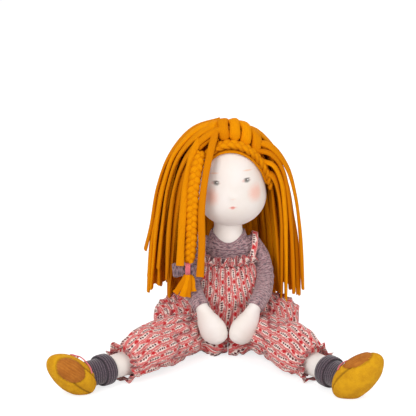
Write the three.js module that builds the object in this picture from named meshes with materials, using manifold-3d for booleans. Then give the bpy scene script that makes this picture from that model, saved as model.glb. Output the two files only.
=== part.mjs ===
// Seated rag doll: a stuffed jersey doll in a sweater, romper, socks and soft shoes.
// Millimetres, +X to the doll's left, +Y behind it, +Z up, floor at z = 0.
import * as THREE from 'three';
import { mergeVertices } from 'three/addons/utils/BufferGeometryUtils.js';
import Module from 'manifold-3d';

const wasm = await Module();
wasm.setup();

// Clearance between pieces that touch
const gap = 0.3;

// Clearance between faceted round pieces that turn in each other
const turnGap = 0.65;

// Head: an egg with full cheeks, leaning a little to the doll's right
const head = {
  radius: 39.2, // at the cheeks
  cheekZ: 180,
  below: 34.6, // cheek line down to the chin
  above: 79, // cheek line up to the crown
  x: 4.5,
  y: -4,
  lean: 5, // degrees
  noseRadius: 2.6,
  noseUp: 8, // above the cheek line
};

// Neck: its round lower end sits in a socket in the body
const neck = { radius: 16.8, x: 0, y: -4, pivotZ: 132, topZ: 152 };

// Stuffed body
const torso = {
  y: -4,
  bottomZ: 6,
  hipHalfWidth: 34,
  hipHalfDepth: 20,
  chestHalfWidth: 30,
  chestHalfDepth: 19,
  chestZ: 100,
  shoulderZ: 134,
};

// Sweater
const sweater = { wall: 1.6, hemZ: 62, neckFrontZ: 129, neckSideZ: 140, neckPlay: 1.8 };

// Shoulder joint and arm
const shoulder = { x: 28, y: -3, z: 121.5, ball: 11 };
const arm = { radius: 7.6, wristRadius: 7.2, handHalfWidth: 15.4, handHalfDepth: 11.5 };
const sleeve = { wall: 2, cuffFlare: 0.6 };

// Romper
const seat = { halfLength: 88, radius: 31.5, fullness: 2.4, flat: 0.5 };
const hipAxis = { y: 0, z: seat.radius - seat.flat };
const romper = {
  wall: 1.8,
  waistZ: 62,
  waistHalfWidth: 47,
  waistHalfDepth: 30,
  bibZ: 103, // gathered line of the bib
  bibHalfWidth: 35,
  bibHalfDepth: 27,
  ruffleHeight: 12,
  ruffleOut: 2.6,
  ruffleFolds: 20,
};
const frillWall = 1.6;
const strap = { width: 7, thick: 1.4 };

// Legs lie on the floor, each with its own splay and foot
const legPlace = {
  1: { hipX: 24, hipY: -5, splay: 34.5, bow: 8, point: 29, roll: 36, plugTurn: -65 },
  [-1]: { hipX: 36, hipY: -12, splay: 43, bow: 16, point: 44, roll: 16, plugTurn: -100 },
};
const leg = {
  length: 186, // hip to ankle
  thighRadius: 16,
  ankleRadius: 12.2,
  footLength: 58,
  footHalfWidth: 16.5,
  footHalfHeight: 13.5,
};
const romperLeg = {
  rootHalfWidth: 26,
  rootHalfHeight: 23,
  fullHalfWidth: 27.5,
  fullHalfHeight: 26.5,
  hemAt: 126, // along the leg
  hemRadius: 18.5,
  ruffleLength: 9,
  ruffleRadius: 22.5,
  ruffleFolds: 12,
};
const sock = { wall: 1.5, topAt: 151.5, cuffLength: 10.5, cuffWall: 2.2 };
const shoe = { wall: 2.2, plugProud: 0.5, plugLength: 38, plugWidth: 30, plugAhead: 15, plugDepth: 26 };
const lace = { diameter: 1.4, lift: 1.5 };

// Hair: strips of rolled jersey sewn round the crown
const strand = { radius: 3.1, sides: 5, steps: 7 };
const hair = { crownX: -3, crownY: 2, crownZ: 261, capWall: 1.4 };
const plait = { width: 12.5, bandWidth: 13.5, thick: 8, pitch: 16, lobe: 0.9 };
const bow = { span: 40, height: 17, thick: 9 };

const rad = THREE.MathUtils.degToRad;
const V = (x, y, z) => new THREE.Vector3(x, y, z);

// Solids

function solidFrom(geometry) {
  const g = geometry.clone();
  for (const name of Object.keys(g.attributes)) {
    if (name !== 'position') g.deleteAttribute(name);
  }
  const merged = mergeVertices(g, 1e-4);
  const vertProperties = Float32Array.from(merged.attributes.position.array);
  const triVerts = Uint32Array.from(merged.index.array);
  let solid = new wasm.Manifold(new wasm.Mesh({ numProp: 3, vertProperties, triVerts }));
  if (solid.volume() < 0) {
    for (let i = 0; i < triVerts.length; i += 3) {
      [triVerts[i], triVerts[i + 1]] = [triVerts[i + 1], triVerts[i]];
    }
    solid = new wasm.Manifold(new wasm.Mesh({ numProp: 3, vertProperties, triVerts }));
  }
  return solid;
}

function geometryFrom(solid) {
  const mesh = solid.getMesh();
  const g = new THREE.BufferGeometry();
  const count = mesh.vertProperties.length / mesh.numProp;
  const position = new Float32Array(count * 3);
  for (let i = 0; i < count; i++) {
    for (let k = 0; k < 3; k++) position[3 * i + k] = mesh.vertProperties[i * mesh.numProp + k];
  }
  g.setAttribute('position', new THREE.BufferAttribute(position, 3));
  g.setIndex(Array.from(mesh.triVerts));
  g.computeVertexNormals();
  return g;
}

// The outer skin of the largest piece, with no pocket left inside
function mainBody(solid) {
  const pieces = solid.decompose();
  return pieces.reduce((best, piece) => (piece.volume() > best.volume() ? piece : best));
}

// The piece whose middle lies nearest to a point
function pieceNear(solid, point) {
  const away = (piece) => {
    const { min, max } = piece.boundingBox();
    return V((min[0] + max[0]) / 2, (min[1] + max[1]) / 2, (min[2] + max[2]) / 2).distanceTo(point);
  };
  return solid.decompose().reduce((best, piece) => (away(piece) < away(best) ? piece : best));
}

function join(...solids) {
  return solids.reduce((all, one) => all.add(one));
}

function cut(solid, ...tools) {
  return tools.reduce((left, tool) => left.subtract(tool), solid);
}

// Closed skin over a row of rings, each ring the same number of points
function loft(rings) {
  const sides = rings[0].length;
  const position = [];
  const index = [];
  const middle = (ring) => ring.reduce((s, p) => s.add(p), V(0, 0, 0)).divideScalar(sides);
  for (const ring of rings) {
    for (const p of ring) position.push(p.x, p.y, p.z);
  }
  for (let i = 0; i + 1 < rings.length; i++) {
    for (let j = 0; j < sides; j++) {
      const a = i * sides + j;
      const b = i * sides + ((j + 1) % sides);
      index.push(a, b, b + sides, a, b + sides, a + sides);
    }
  }
  const first = middle(rings[0]);
  const last = middle(rings[rings.length - 1]);
  const start = rings.length * sides;
  const offset = (rings.length - 1) * sides;
  position.push(first.x, first.y, first.z, last.x, last.y, last.z);
  for (let j = 0; j < sides; j++) {
    const next = (j + 1) % sides;
    index.push(start, next, j, start + 1, offset + j, offset + next);
  }
  const g = new THREE.BufferGeometry();
  g.setAttribute('position', new THREE.Float32BufferAttribute(position, 3));
  g.setIndex(index);
  return solidFrom(g);
}

// Oval ring in a level plane
function levelRing(z, halfWidth, halfDepth, x, y, sides, wave = () => 0) {
  return Array.from({ length: sides }, (_, j) => {
    const a = (2 * Math.PI * j) / sides;
    const grow = wave(a);
    return V(x + (halfWidth + grow) * Math.cos(a), y + (halfDepth + grow) * Math.sin(a), z);
  });
}

// Oval ring square to a direction; the first radius lies level
function ringAcross(centre, along, level, upright, sides, wave = () => 0) {
  const t = along.clone().normalize();
  const side = V(0, 0, 1).cross(t);
  if (side.lengthSq() < 1e-6) side.set(1, 0, 0);
  side.normalize();
  const up = t.clone().cross(side);
  return Array.from({ length: sides }, (_, j) => {
    const a = (2 * Math.PI * j) / sides;
    const grow = wave(a);
    return centre
      .clone()
      .addScaledVector(side, (level + grow) * Math.cos(a))
      .addScaledVector(up, (upright + grow) * Math.sin(a));
  });
}

// Value between named stations: [[at, value], ...], eased
function between(stations, at) {
  if (at <= stations[0][0]) return stations[0][1];
  for (let i = 1; i < stations.length; i++) {
    const [a, va] = stations[i - 1];
    const [b, vb] = stations[i];
    if (at <= b) return THREE.MathUtils.lerp(va, vb, THREE.MathUtils.smoothstep(at, a, b));
  }
  return stations[stations.length - 1][1];
}

// Stuffed limb along a curve, closed by round ends
function limb(curve, rings, sides, radiusAt, flatAt = radiusAt) {
  const all = [];
  for (let i = 0; i <= rings; i++) {
    const end = 0.5 - 0.5 * Math.cos((Math.PI * i) / rings);
    const u = THREE.MathUtils.lerp(i / rings, end, 0.6);
    all.push(ringAcross(curve.getPointAt(u), curve.getTangentAt(u), radiusAt(u), flatAt(u), sides));
  }
  return loft(all);
}

function ball(centre, rx, ry, rz, around = 12, down = 7) {
  const g = new THREE.SphereGeometry(1, around, down);
  g.rotateX(Math.PI / 2);
  g.scale(rx, ry, rz);
  g.translate(centre.x, centre.y, centre.z);
  return solidFrom(g);
}

function block(x0, x1, y0, y1, z0, z1) {
  const g = new THREE.BoxGeometry(x1 - x0, y1 - y0, z1 - z0);
  g.translate((x0 + x1) / 2, (y0 + y1) / 2, (z0 + z1) / 2);
  return solidFrom(g);
}

const FAR = 600;
const belowFloor = block(-FAR, FAR, -FAR, FAR, -FAR, 0);

// Round tube along a smooth curve
function tube(points, radius, sides, steps, closed = false) {
  const section = new THREE.Shape();
  for (let j = 0; j < sides; j++) {
    const a = (2 * Math.PI * j) / sides;
    const x = radius * Math.cos(a);
    const y = radius * Math.sin(a);
    if (j === 0) section.moveTo(x, y);
    else section.lineTo(x, y);
  }
  section.closePath();
  const extrudePath = new THREE.CatmullRomCurve3(points, closed, 'centripetal');
  return solidFrom(new THREE.ExtrudeGeometry(section, { steps, extrudePath, bevelEnabled: false }));
}

// Head and neck

const headTilt = new THREE.Matrix4().makeTranslation(head.x, head.y, head.cheekZ)
  .multiply(new THREE.Matrix4().makeRotationY(rad(-head.lean)));

function headPoint(x, y, z) {
  return V(x, y, z).applyMatrix4(headTilt);
}

function headForm(grow) {
  const steps = 10;
  const profile = [];
  for (let i = 0; i <= steps; i++) {
    const a = (Math.PI * i) / steps;
    const height = Math.cos(a) > 0 ? head.above : head.below;
    const r = i === 0 || i === steps ? 0 : (head.radius + grow) * Math.sin(a);
    profile.push(new THREE.Vector2(r, -(height + grow) * Math.cos(a)));
  }
  const g = new THREE.LatheGeometry(profile, 20);
  g.rotateX(-Math.PI / 2);
  g.applyMatrix4(headTilt);
  return solidFrom(g);
}

const neckPivot = V(neck.x, neck.y, neck.pivotZ);

function neckForm(grow) {
  const r = neck.radius + grow;
  const steps = 3;
  const rings = [];
  for (let i = steps; i >= 1; i--) {
    const a = (Math.PI / 2) * (i / steps) * 0.97;
    rings.push(levelRing(neck.pivotZ - r * Math.sin(a), r * Math.cos(a), r * Math.cos(a), neck.x, neck.y, 12));
  }
  rings.push(levelRing(neck.pivotZ, r, r, neck.x, neck.y, 12));
  rings.push(levelRing(neck.topZ + grow, r, r, neck.x, neck.y, 12));
  return loft(rings);
}

function makeHead() {
  const nose = headPoint(0, -head.radius + 0.7, head.noseUp);
  const r = head.noseRadius;
  return join(headForm(0), ball(nose, r * 1.1, r * 0.8, r, 8, 6));
}

function makeNeck() {
  return cut(neckForm(0), headForm(gap));
}

// Stuffed body and sweater share one outline

const bodyLevels = [6, 26, 62, 100, 115, 125, 134];

function bodyRings(grow, fromZ, toZ) {
  const width = [
    [torso.bottomZ, torso.hipHalfWidth * 0.7],
    [torso.bottomZ + 20, torso.hipHalfWidth],
    [60, torso.chestHalfWidth],
    [torso.chestZ, torso.chestHalfWidth],
    [torso.shoulderZ - 14, torso.chestHalfWidth * 0.93],
    [torso.shoulderZ, neck.radius + 2.5],
  ];
  const depth = [
    [torso.bottomZ, torso.hipHalfDepth * 0.7],
    [torso.bottomZ + 20, torso.hipHalfDepth],
    [torso.chestZ, torso.chestHalfDepth],
    [torso.shoulderZ - 14, torso.chestHalfDepth * 0.86],
    [torso.shoulderZ, neck.radius - 1],
  ];
  const inside = bodyLevels.filter((z) => z > fromZ + 1 && z < toZ - 1);
  return [fromZ, ...inside, toZ].map((z) => {
    return levelRing(z, between(width, z) + grow, between(depth, z) + grow, 0, torso.y, 14);
  });
}

// Socket for the neck, wider towards the top so that the head can nod
const neckSocket = join(
  neckForm(turnGap),
  loft([
    levelRing(neck.pivotZ - 1, neck.radius + turnGap, neck.radius + turnGap, neck.x, neck.y, 12),
    levelRing(neck.pivotZ + 30, neck.radius + sweater.neckPlay * 2, neck.radius + sweater.neckPlay * 3.6, neck.x, neck.y, 12),
  ]),
);

function makeTorso() {
  const skin = loft(bodyRings(0, torso.bottomZ, torso.shoulderZ));
  return mainBody(cut(skin, neckSocket, ...sides.map(shoulderBall), ...sides.map((s) => sleeveForm(s, turnGap))));
}

function shoulderBall(side) {
  const r = shoulder.ball + turnGap;
  return ball(V(side * shoulder.x, shoulder.y, shoulder.z), r, r, r);
}

const sides = [1, -1];

// The room that a form takes as the arm swings forward and outward
const armSwing = { axisX: -0.85, axisZ: 0.5, angles: [0, 13, 27, 40, 60, 80], firstAngles: [0, 7, 14] };

function swungForm(still, side, angles) {
  const axis = V(armSwing.axisX, 0, side * armSwing.axisZ).normalize();
  const turned = angles.map((angle) => {
    const turn = new THREE.Matrix4().makeTranslation(side * shoulder.x, shoulder.y, shoulder.z)
      .multiply(new THREE.Matrix4().makeRotationAxis(axis, rad(angle)))
      .multiply(new THREE.Matrix4().makeTranslation(-side * shoulder.x, -shoulder.y, -shoulder.z));
    return still.transform(turn.elements);
  });
  return join(...turned);
}

function makeSweater() {
  const grow = gap + sweater.wall;
  const rise = sweater.neckSideZ - sweater.neckFrontZ;
  const rings = bodyRings(grow, sweater.hemZ, torso.shoulderZ + sweater.wall);
  const collar = rings[rings.length - 1].map((p) => {
    const lift = rise * Math.abs(p.x) / (neck.radius + 4);
    return V(p.x * 0.96, torso.y + (p.y - torso.y) * 0.98, sweater.neckFrontZ + 4 + lift);
  });
  rings.push(collar);
  const outer = loft(rings);
  const inner = loft(bodyRings(gap, sweater.hemZ - 5, torso.shoulderZ));
  const arms = sides.map((s) => sleeveForm(s, 3 * gap));
  return mainBody(cut(outer, inner, neckSocket, headForm(3), ...sides.map(shoulderBall), ...arms));
}

// Arms: one path, which the stuffing and the sleeve share

const armPath = [
  [0, 0, 0],
  [9.5, -3, -12],
  [13, -7, -24],
  [14.5, -13, -36],
  [12, -28, -47.5],
  [7, -40, -54],
  [2, -49, -60],
  [-5.5, -55, -75],
  [-14.3, -60, -90],
  [-17.8, -62, -99],
];

function armCurve(side) {
  const points = armPath.map(([x, y, z]) => V(side * (shoulder.x + x), shoulder.y + y, shoulder.z + z));
  return new THREE.CatmullRomCurve3(points, false, 'centripetal');
}

const cuffAt = 0.66; // share of the arm that the sleeve covers
const armEnds = [[0, 0.15], [0.02, 0.6], [0.05, 1], [0.95, 1], [0.985, 0.62], [1, 0.12]];

function armForm(side, grow) {
  const across = [
    [0.02, arm.radius],
    [cuffAt, arm.wristRadius],
    [0.85, arm.handHalfDepth],
    [0.96, arm.handHalfDepth * 0.85],
  ];
  const upright = [
    [0.02, arm.radius],
    [cuffAt, arm.wristRadius],
    [0.72, arm.wristRadius + 0.8],
    [0.87, arm.handHalfWidth],
    [0.96, arm.handHalfWidth * 0.9],
  ];
  const end = (u) => between(armEnds, u);
  return limb(
    armCurve(side), 12, 10,
    (u) => (between(across, u) + grow) * end(u),
    (u) => (between(upright, u) + grow) * end(u),
  );
}

function sleeveForm(side, grow) {
  const curve = armCurve(side);
  const radius = [
    [0, shoulder.ball * 0.86],
    [0.12, 9.8],
    [0.4, 10.4],
    [cuffAt, arm.wristRadius + gap + sleeve.wall],
  ];
  const rings = [];
  const count = 6;
  for (let i = 0; i <= count; i++) {
    const u = (cuffAt * i) / count;
    const r = between(radius, u) + grow + (i === count ? sleeve.cuffFlare : 0);
    rings.push(ringAcross(curve.getPointAt(u), curve.getTangentAt(u), r, r, 12));
  }
  const centre = V(side * shoulder.x, shoulder.y, shoulder.z);
  return join(loft(rings), ball(centre, shoulder.ball + grow, shoulder.ball + grow, shoulder.ball + grow));
}

function makeSleeve(side) {
  return mainBody(cut(sleeveForm(side, 0), armForm(side, gap)));
}

// Romper: the seat is a roll about the hip axis, so that the legs can turn round it

function seatForm(grow) {
  const steps = 9;
  const profile = [];
  for (let i = 0; i <= steps; i++) {
    const x = -Math.cos((Math.PI * i) / steps);
    const r = Math.pow(Math.max(0, 1 - Math.pow(Math.abs(x), seat.fullness)), 1 / seat.fullness);
    const inner = i === 0 || i === steps;
    profile.push(new THREE.Vector2(inner ? 0 : r * seat.radius + grow, x * (seat.halfLength + grow)));
  }
  const g = new THREE.LatheGeometry(profile, 24);
  g.rotateZ(Math.PI / 2);
  g.translate(0, hipAxis.y, hipAxis.z);
  return solidFrom(g);
}

function waistForm(grow) {
  const width = [[30, 52], [romper.waistZ, romper.waistHalfWidth], [romper.bibZ, romper.bibHalfWidth]];
  const depth = [[30, 27], [romper.waistZ, romper.waistHalfDepth], [romper.bibZ, romper.bibHalfDepth]];
  const rings = [];
  const count = 4;
  for (let i = 0; i <= count; i++) {
    const z = THREE.MathUtils.lerp(30, romper.bibZ + grow, i / count);
    rings.push(levelRing(z, between(width, z) + grow, between(depth, z) + grow, 0, torso.y, 18));
  }
  return loft(rings);
}

const sweaterHollow = () => loft(bodyRings(2 * gap + sweater.wall, sweater.hemZ - gap, torso.shoulderZ));
const torsoHollow = () => loft(bodyRings(gap, torso.bottomZ - gap, torso.shoulderZ));

function makeRomperBody() {
  const skin = join(seatForm(0), waistForm(0));
  return mainBody(cut(skin, belowFloor, sweaterHollow(), torsoHollow(), ...sides.map((s) => sleeveForm(s, 3 * gap))));
}

// Frill standing on the gathered line, a thin wavy band
function frillRings(inset) {
  const n = 2 * romper.ruffleFolds;
  const wave = (amount) => (a) => amount * Math.cos(romper.ruffleFolds * a);
  return [0, 0.45, 1].map((t) => {
    const out = romper.ruffleOut * t - 1 - inset;
    const z = romper.bibZ + gap + romper.ruffleHeight * t;
    const w = romper.bibHalfWidth + out;
    return levelRing(z, w, romper.bibHalfDepth + out, 0, torso.y, n, wave(0.3 + 1.3 * t));
  });
}

function makeBibRuffle(front) {
  const inner = frillRings(frillWall);
  for (const p of inner[0]) p.z -= 1;
  for (const p of inner[2]) p.z += 1;
  const band = cut(loft(frillRings(0)), loft(inner), ...sides.map((s) => swungForm(sleeveForm(s, gap), s, armSwing.angles)));
  return pieceNear(band, V(0, torso.y + (front ? -1 : 1) * romper.bibHalfDepth, romper.bibZ + 6));
}

// Strap from the bib over the ball of the shoulder to the back
const strapPath = [
  [26.5, -20, 103.6],
  [29, -21, 113],
  [33, -17, 123.5],
  [34.5, -8, 131.5],
  [34, 1, 134],
  [31, 10, 129],
  [27.5, 16, 117],
  [25.5, 15.5, 103.6],
];

function makeStrap(side) {
  const points = strapPath.map(([x, y, z]) => V(side * x, y, z));
  const section = new THREE.Shape();
  section.moveTo(-strap.width / 2, -strap.thick / 2);
  section.lineTo(strap.width / 2, -strap.thick / 2);
  section.lineTo(strap.width / 2, strap.thick / 2);
  section.lineTo(-strap.width / 2, strap.thick / 2);
  section.closePath();
  const extrudePath = new THREE.CatmullRomCurve3(points, false, 'centripetal');
  const band = solidFrom(new THREE.ExtrudeGeometry(section, { steps: 7, extrudePath, bevelEnabled: false }));
  const sweaterSkin = loft(bodyRings(2 * gap + sweater.wall, romper.bibZ - 5, torso.shoulderZ + sweater.wall));
  const frill = loft(frillRings(-gap)).subtract(loft(frillRings(frillWall + gap)));
  return mainBody(cut(band, sweaterSkin, sleeveForm(side, gap), frill));
}

// Legs

function legDirection(side) {
  const { splay } = legPlace[side];
  return V(side * Math.sin(rad(splay)), -Math.cos(rad(splay)), 0);
}

// Outward, level, square to the leg
function legOutward(side) {
  const { splay } = legPlace[side];
  return V(side * Math.cos(rad(splay)), Math.sin(rad(splay)), 0);
}

// The leg bows a little at the knee
function legPoint(side, along, z) {
  const { hipX, hipY, bow: knee } = legPlace[side];
  const share = THREE.MathUtils.clamp(along / leg.length, 0, 1);
  return V(side * hipX, hipY, z)
    .addScaledVector(legDirection(side), along)
    .addScaledVector(legOutward(side), -knee * Math.sin(Math.PI * share));
}

const romperHeight = [
  [-20, romperLeg.rootHalfHeight],
  [12, romperLeg.rootHalfHeight],
  [65, romperLeg.fullHalfHeight],
  [95, romperLeg.fullHalfHeight * 0.93],
  [romperLeg.hemAt, romperLeg.hemRadius],
];
const romperWidth = [
  [-20, romperLeg.rootHalfWidth],
  [12, romperLeg.rootHalfWidth],
  [65, romperLeg.fullHalfWidth],
  [95, romperLeg.fullHalfWidth * 0.92],
  [romperLeg.hemAt, romperLeg.hemRadius],
];

// Height of the leg's middle line above the floor
const legLine = [[0, 24], [60, 24], [romperLeg.hemAt, 19.5], [leg.length, 17.5]];

function legForm(side, grow) {
  const count = 6;
  const rings = [];
  for (let i = 0; i <= count; i++) {
    const at = (leg.length * i) / count;
    const round = i === 0 ? 0.6 : 1;
    const r = (between([[0, leg.thighRadius], [leg.length, leg.ankleRadius]], at) + grow) * round;
    rings.push(ringAcross(legPoint(side, at - (i === 0 ? grow : 0), between(legLine, at)), legDirection(side), r, r, 12));
  }
  return join(loft(rings), footForm(side, grow));
}

// Foot frame: forward to the toes, up through the instep, inward to the other foot
function footFrame(side) {
  const d = legDirection(side);
  const out = legOutward(side);
  const { point, roll } = legPlace[side];
  const rise = V(0, 0, 1).multiplyScalar(Math.cos(rad(roll))).addScaledVector(out, Math.sin(rad(roll)));
  const forward = rise.clone().multiplyScalar(Math.cos(rad(point))).addScaledVector(d, Math.sin(rad(point)));
  const top = rise.clone().multiplyScalar(Math.sin(rad(point))).addScaledVector(d, -Math.cos(rad(point)));
  const inward = forward.clone().cross(top).multiplyScalar(-side);
  const heel = legPoint(side, leg.length - 2, between(legLine, leg.length));
  const centre = heel.addScaledVector(forward, 12).addScaledVector(top, -4);
  return { forward, top, inward, centre };
}

function footForm(side, grow, around = 9, down = 6) {
  const { forward, top, inward, centre } = footFrame(side);
  const g = new THREE.SphereGeometry(1, around, down);
  const half = leg.footLength / 2;
  const position = g.attributes.position;
  for (let i = 0; i < position.count; i++) {
    const x = position.getX(i);
    const y = position.getY(i);
    const z = position.getZ(i);
    const taper = 1 - 0.12 * y;
    const p = centre.clone()
      .addScaledVector(forward, y * (half + grow))
      .addScaledVector(inward, x * (leg.footHalfWidth + grow) * taper)
      .addScaledVector(top, z * (leg.footHalfHeight + grow) * taper);
    position.setXYZ(i, p.x, p.y, p.z);
  }
  return solidFrom(g);
}

function crotchForm(side) {
  return ball(V(side * 9, -30, 9), 26, 24, 13, 12, 8);
}

// The cloth lies flat where the hand rests on it
const handRest = { share: 0.86, lean: 68, reach: 16.5 };

function roomForHand(side) {
  const g = new THREE.BoxGeometry(FAR, FAR, FAR);
  g.translate(0, 0, FAR / 2 - handRest.reach);
  g.rotateY(-side * rad(handRest.lean));
  const hand = armCurve(side).getPointAt(handRest.share);
  g.translate(hand.x, hand.y, hand.z);
  return solidFrom(g);
}

function makeRomperLeg(side) {
  const count = 7;
  const rings = [];
  for (let i = 0; i <= count; i++) {
    const at = THREE.MathUtils.lerp(-18, romperLeg.hemAt, i / count);
    const h = between(romperHeight, at);
    const pucker = at > 100 ? 0.5 : 0;
    const wave = (a) => pucker * Math.cos(romperLeg.ruffleFolds * a);
    rings.push(ringAcross(legPoint(side, at, h), legDirection(side), between(romperWidth, at), h, 14, wave));
  }
  const ownSide = block(Math.min(gap / 2 * side, side * FAR), Math.max(gap / 2 * side, side * FAR), -FAR, FAR, -FAR, FAR);
  const skin = join(cut(loft(rings), roomForHand(side)), crotchForm(side)).intersect(ownSide);
  const behindHip = block(-FAR, FAR, -6, FAR, -FAR, FAR);
  return mainBody(cut(
    skin, belowFloor, behindHip, seatForm(turnGap), waistForm(turnGap), legForm(side, gap),
    swungForm(armForm(side, 4 * gap), side, armSwing.firstAngles), sleeveForm(side, 4 * gap),
  ));
}

function makeAnkleRuffle(side) {
  const n = 2 * romperLeg.ruffleFolds;
  const wave = (amount) => (a) => amount * Math.cos(romperLeg.ruffleFolds * a);
  const rings = [0, 0.5, 1].map((t) => {
    const at = romperLeg.hemAt + gap + romperLeg.ruffleLength * t;
    const r = THREE.MathUtils.lerp(romperLeg.hemRadius, romperLeg.ruffleRadius, t);
    const h = THREE.MathUtils.lerp(romperLeg.hemRadius, romperLeg.ruffleRadius - 2, t);
    return ringAcross(legPoint(side, at, h), legDirection(side), r, h, n, wave(0.2 + 1.2 * t));
  });
  return mainBody(cut(loft(rings), belowFloor, legForm(side, gap)));
}

// Socks and shoes

function legSleeve(side, from, to, r0, r1, sidesAround = 12) {
  const rings = [from, (from + to) / 2, to].map((at, i) => {
    const r = [r0, (r0 + r1) / 2, r1][i];
    return ringAcross(legPoint(side, at, between(legLine, at)), legDirection(side), r, r, sidesAround);
  });
  return loft(rings);
}

function sockForm(side, grow) {
  const r = leg.ankleRadius + gap + sock.wall + grow;
  const tubePart = legSleeve(side, sock.topAt, leg.length, r + 0.3, r);
  return join(tubePart, footForm(side, gap + sock.wall + grow));
}

function makeSock(side) {
  return mainBody(cut(sockForm(side, 0), belowFloor, legForm(side, gap)));
}

function makeSockCuff(side) {
  const r = leg.ankleRadius + 2 * gap + sock.wall + sock.cuffWall;
  const from = sock.topAt - 0.5;
  const ring = legSleeve(side, from, from + sock.cuffLength, r, r + 0.2);
  return mainBody(cut(ring, belowFloor, sockForm(side, gap), legForm(side, gap)));
}

function shoeShell(side, proud) {
  const { forward, top, centre } = footFrame(side);
  const outer = footForm(side, 2 * gap + sock.wall + shoe.wall + proud, 12, 8);
  const opening = centre.clone().addScaledVector(forward, -10).addScaledVector(top, 30);
  const mouth = ball(opening, 15, 15, 15, 12, 8);
  return cut(outer, sockForm(side, gap), legForm(side, gap), mouth);
}

// Everything inside the plug's oval seam, which faces up from the twisted foot
function plugTool(side, grow) {
  const { forward, top, inward, centre } = footFrame(side);
  const turn = rad(legPlace[side].plugTurn);
  const up = top.clone().multiplyScalar(Math.cos(turn)).addScaledVector(inward, Math.sin(turn));
  const g = new THREE.SphereGeometry(1, 12, 8);
  g.scale(shoe.plugLength / 2 + grow, shoe.plugWidth / 2 + grow, shoe.plugDepth + grow);
  g.applyMatrix4(new THREE.Matrix4().makeBasis(forward, up.clone().cross(forward), up));
  const seamHeight = 2;
  const at = centre.clone().addScaledVector(up, seamHeight + shoe.plugDepth).addScaledVector(forward, shoe.plugAhead);
  g.translate(at.x, at.y, at.z);
  return solidFrom(g);
}

function makeShoe(side) {
  return mainBody(cut(shoeShell(side, 0), belowFloor, plugTool(side, gap)));
}

function makePlug(side) {
  return mainBody(cut(shoeShell(side, shoe.plugProud), belowFloor).intersect(plugTool(side, 0)));
}

// Hair strips spring from the crown and hang round the head

// Rows of strips round the crown, from the root down: [height, reach at the ear, reach at the back].
// Turn 0 hangs at the ear, 90 at the back of the head.
const hairRows = {
  outer: {
    fall: [[259, 16, 16], [254, 34, 30], [244, 46, 43], [233, 55, 50], [212, 63, 54.5], [186, 71, 56.5], [158, 76, 58]],
    low: [[126, 82, 59]],
    tip: [87, 60],
    count: 7,
    tipZ: 56,
  },
  middle: {
    fall: [[245, 29.5, 27.5], [237.5, 39.5, 36], [226, 49, 43.5], [205, 56.5, 47.5], [178, 63, 49], [150, 67, 50.5]],
    low: [[120, 72, 51.5]],
    tip: [76, 52],
    count: 6,
    tipZ: 62,
  },
  inner: {
    fall: [[227.5, 39.5, 31], [221, 43, 34.5], [211, 47, 37.5], [190, 52.5, 40.5], [160, 57, 42]],
    low: [[125, 61, 43]],
    tip: [64, 44],
    count: 4,
    tipZ: 50,
  },
};

// The hair is a little fuller on the doll's right
const fullness = { 1: 1, [-1]: 1.055 };

function stripPath(row, side, turn, tipZ) {
  const at = ([z, ear, back]) => V(
    hair.crownX + side * fullness[side] * ear * Math.cos(rad(turn)),
    hair.crownY + back * Math.sin(rad(turn)),
    z,
  );
  return [...row.fall, ...row.low, [tipZ, ...row.tip]].map(at);
}

function makeHairRow(name, side) {
  const row = hairRows[name];
  const paths = Array.from({ length: row.count }, (_, i) => {
    const turn = (84 * i) / (row.count - 1);
    const uneven = 5 * Math.sin(2.3 * i + row.tipZ);
    const overHip = turn < 40 ? 10 : -8;
    return stripPath(row, side, turn, row.tipZ + overHip + uneven);
  });
  const seam = tube(paths.map((path) => path[0]), strand.radius + 0.3, 5, row.count);
  const strips = paths.map((path) => tube(path, strand.radius, strand.sides, strand.steps));
  const own = side * (gap / 2) + hair.crownX;
  const half = block(Math.min(own, side * FAR), Math.max(own, side * FAR), -FAR, FAR, -FAR, FAR);
  const all = join(seam, ...strips).intersect(half);
  return mainBody(cut(all, headForm(hair.capWall + 2 * gap), seatForm(2 * gap)));
}

// Wig base behind the hairline
function behindHairline(forward) {
  const g = new THREE.BoxGeometry(FAR, FAR, FAR);
  g.translate(0, FAR / 2 - forward, 0);
  g.rotateX(rad(28));
  const hairline = headPoint(0, -head.radius * 0.62, head.above * 0.79);
  g.translate(hairline.x, hairline.y, hairline.z);
  return solidFrom(g);
}

function makeCap() {
  const above = block(-FAR, FAR, -FAR, FAR, head.cheekZ - 22, FAR);
  const skin = headForm(gap + hair.capWall).intersect(behindHairline(0)).intersect(above);
  return mainBody(cut(skin, headForm(gap)));
}

// A place on the arc of the headband; turn 0 is above the brow, 90 at the ear
function bandPoint(turn, lift, lean) {
  const x = (head.radius + lift) * Math.sin(rad(turn));
  const y = -(head.radius + lift) * Math.sin(rad(lean)) * Math.cos(rad(turn));
  const z = (head.above + lift) * Math.cos(rad(lean)) * Math.cos(rad(turn));
  return headPoint(x, y, z);
}

// Flat plait: lobes come alternately left and right
function plaitForm(curve, rings, width, thick, normalAt, ends = 0.75) {
  const turns = curve.getLength() / plait.pitch;
  const all = [];
  for (let i = 0; i <= rings; i++) {
    const u = i / rings;
    const t = curve.getTangentAt(u);
    const out = normalAt(u);
    const across = out.clone().cross(t).normalize();
    const end = i === 0 || i === rings ? ends : 1;
    const sway = plait.lobe * Math.sin(2 * Math.PI * turns * u);
    all.push(Array.from({ length: 8 }, (_, j) => {
      const a = (2 * Math.PI * j) / 8;
      return curve.getPointAt(u)
        .addScaledVector(across, sway + (width / 2) * end * Math.cos(a))
        .addScaledVector(out, (thick / 2) * end * Math.sin(a));
    }));
  }
  return loft(all);
}

const bandLean = 38;

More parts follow.
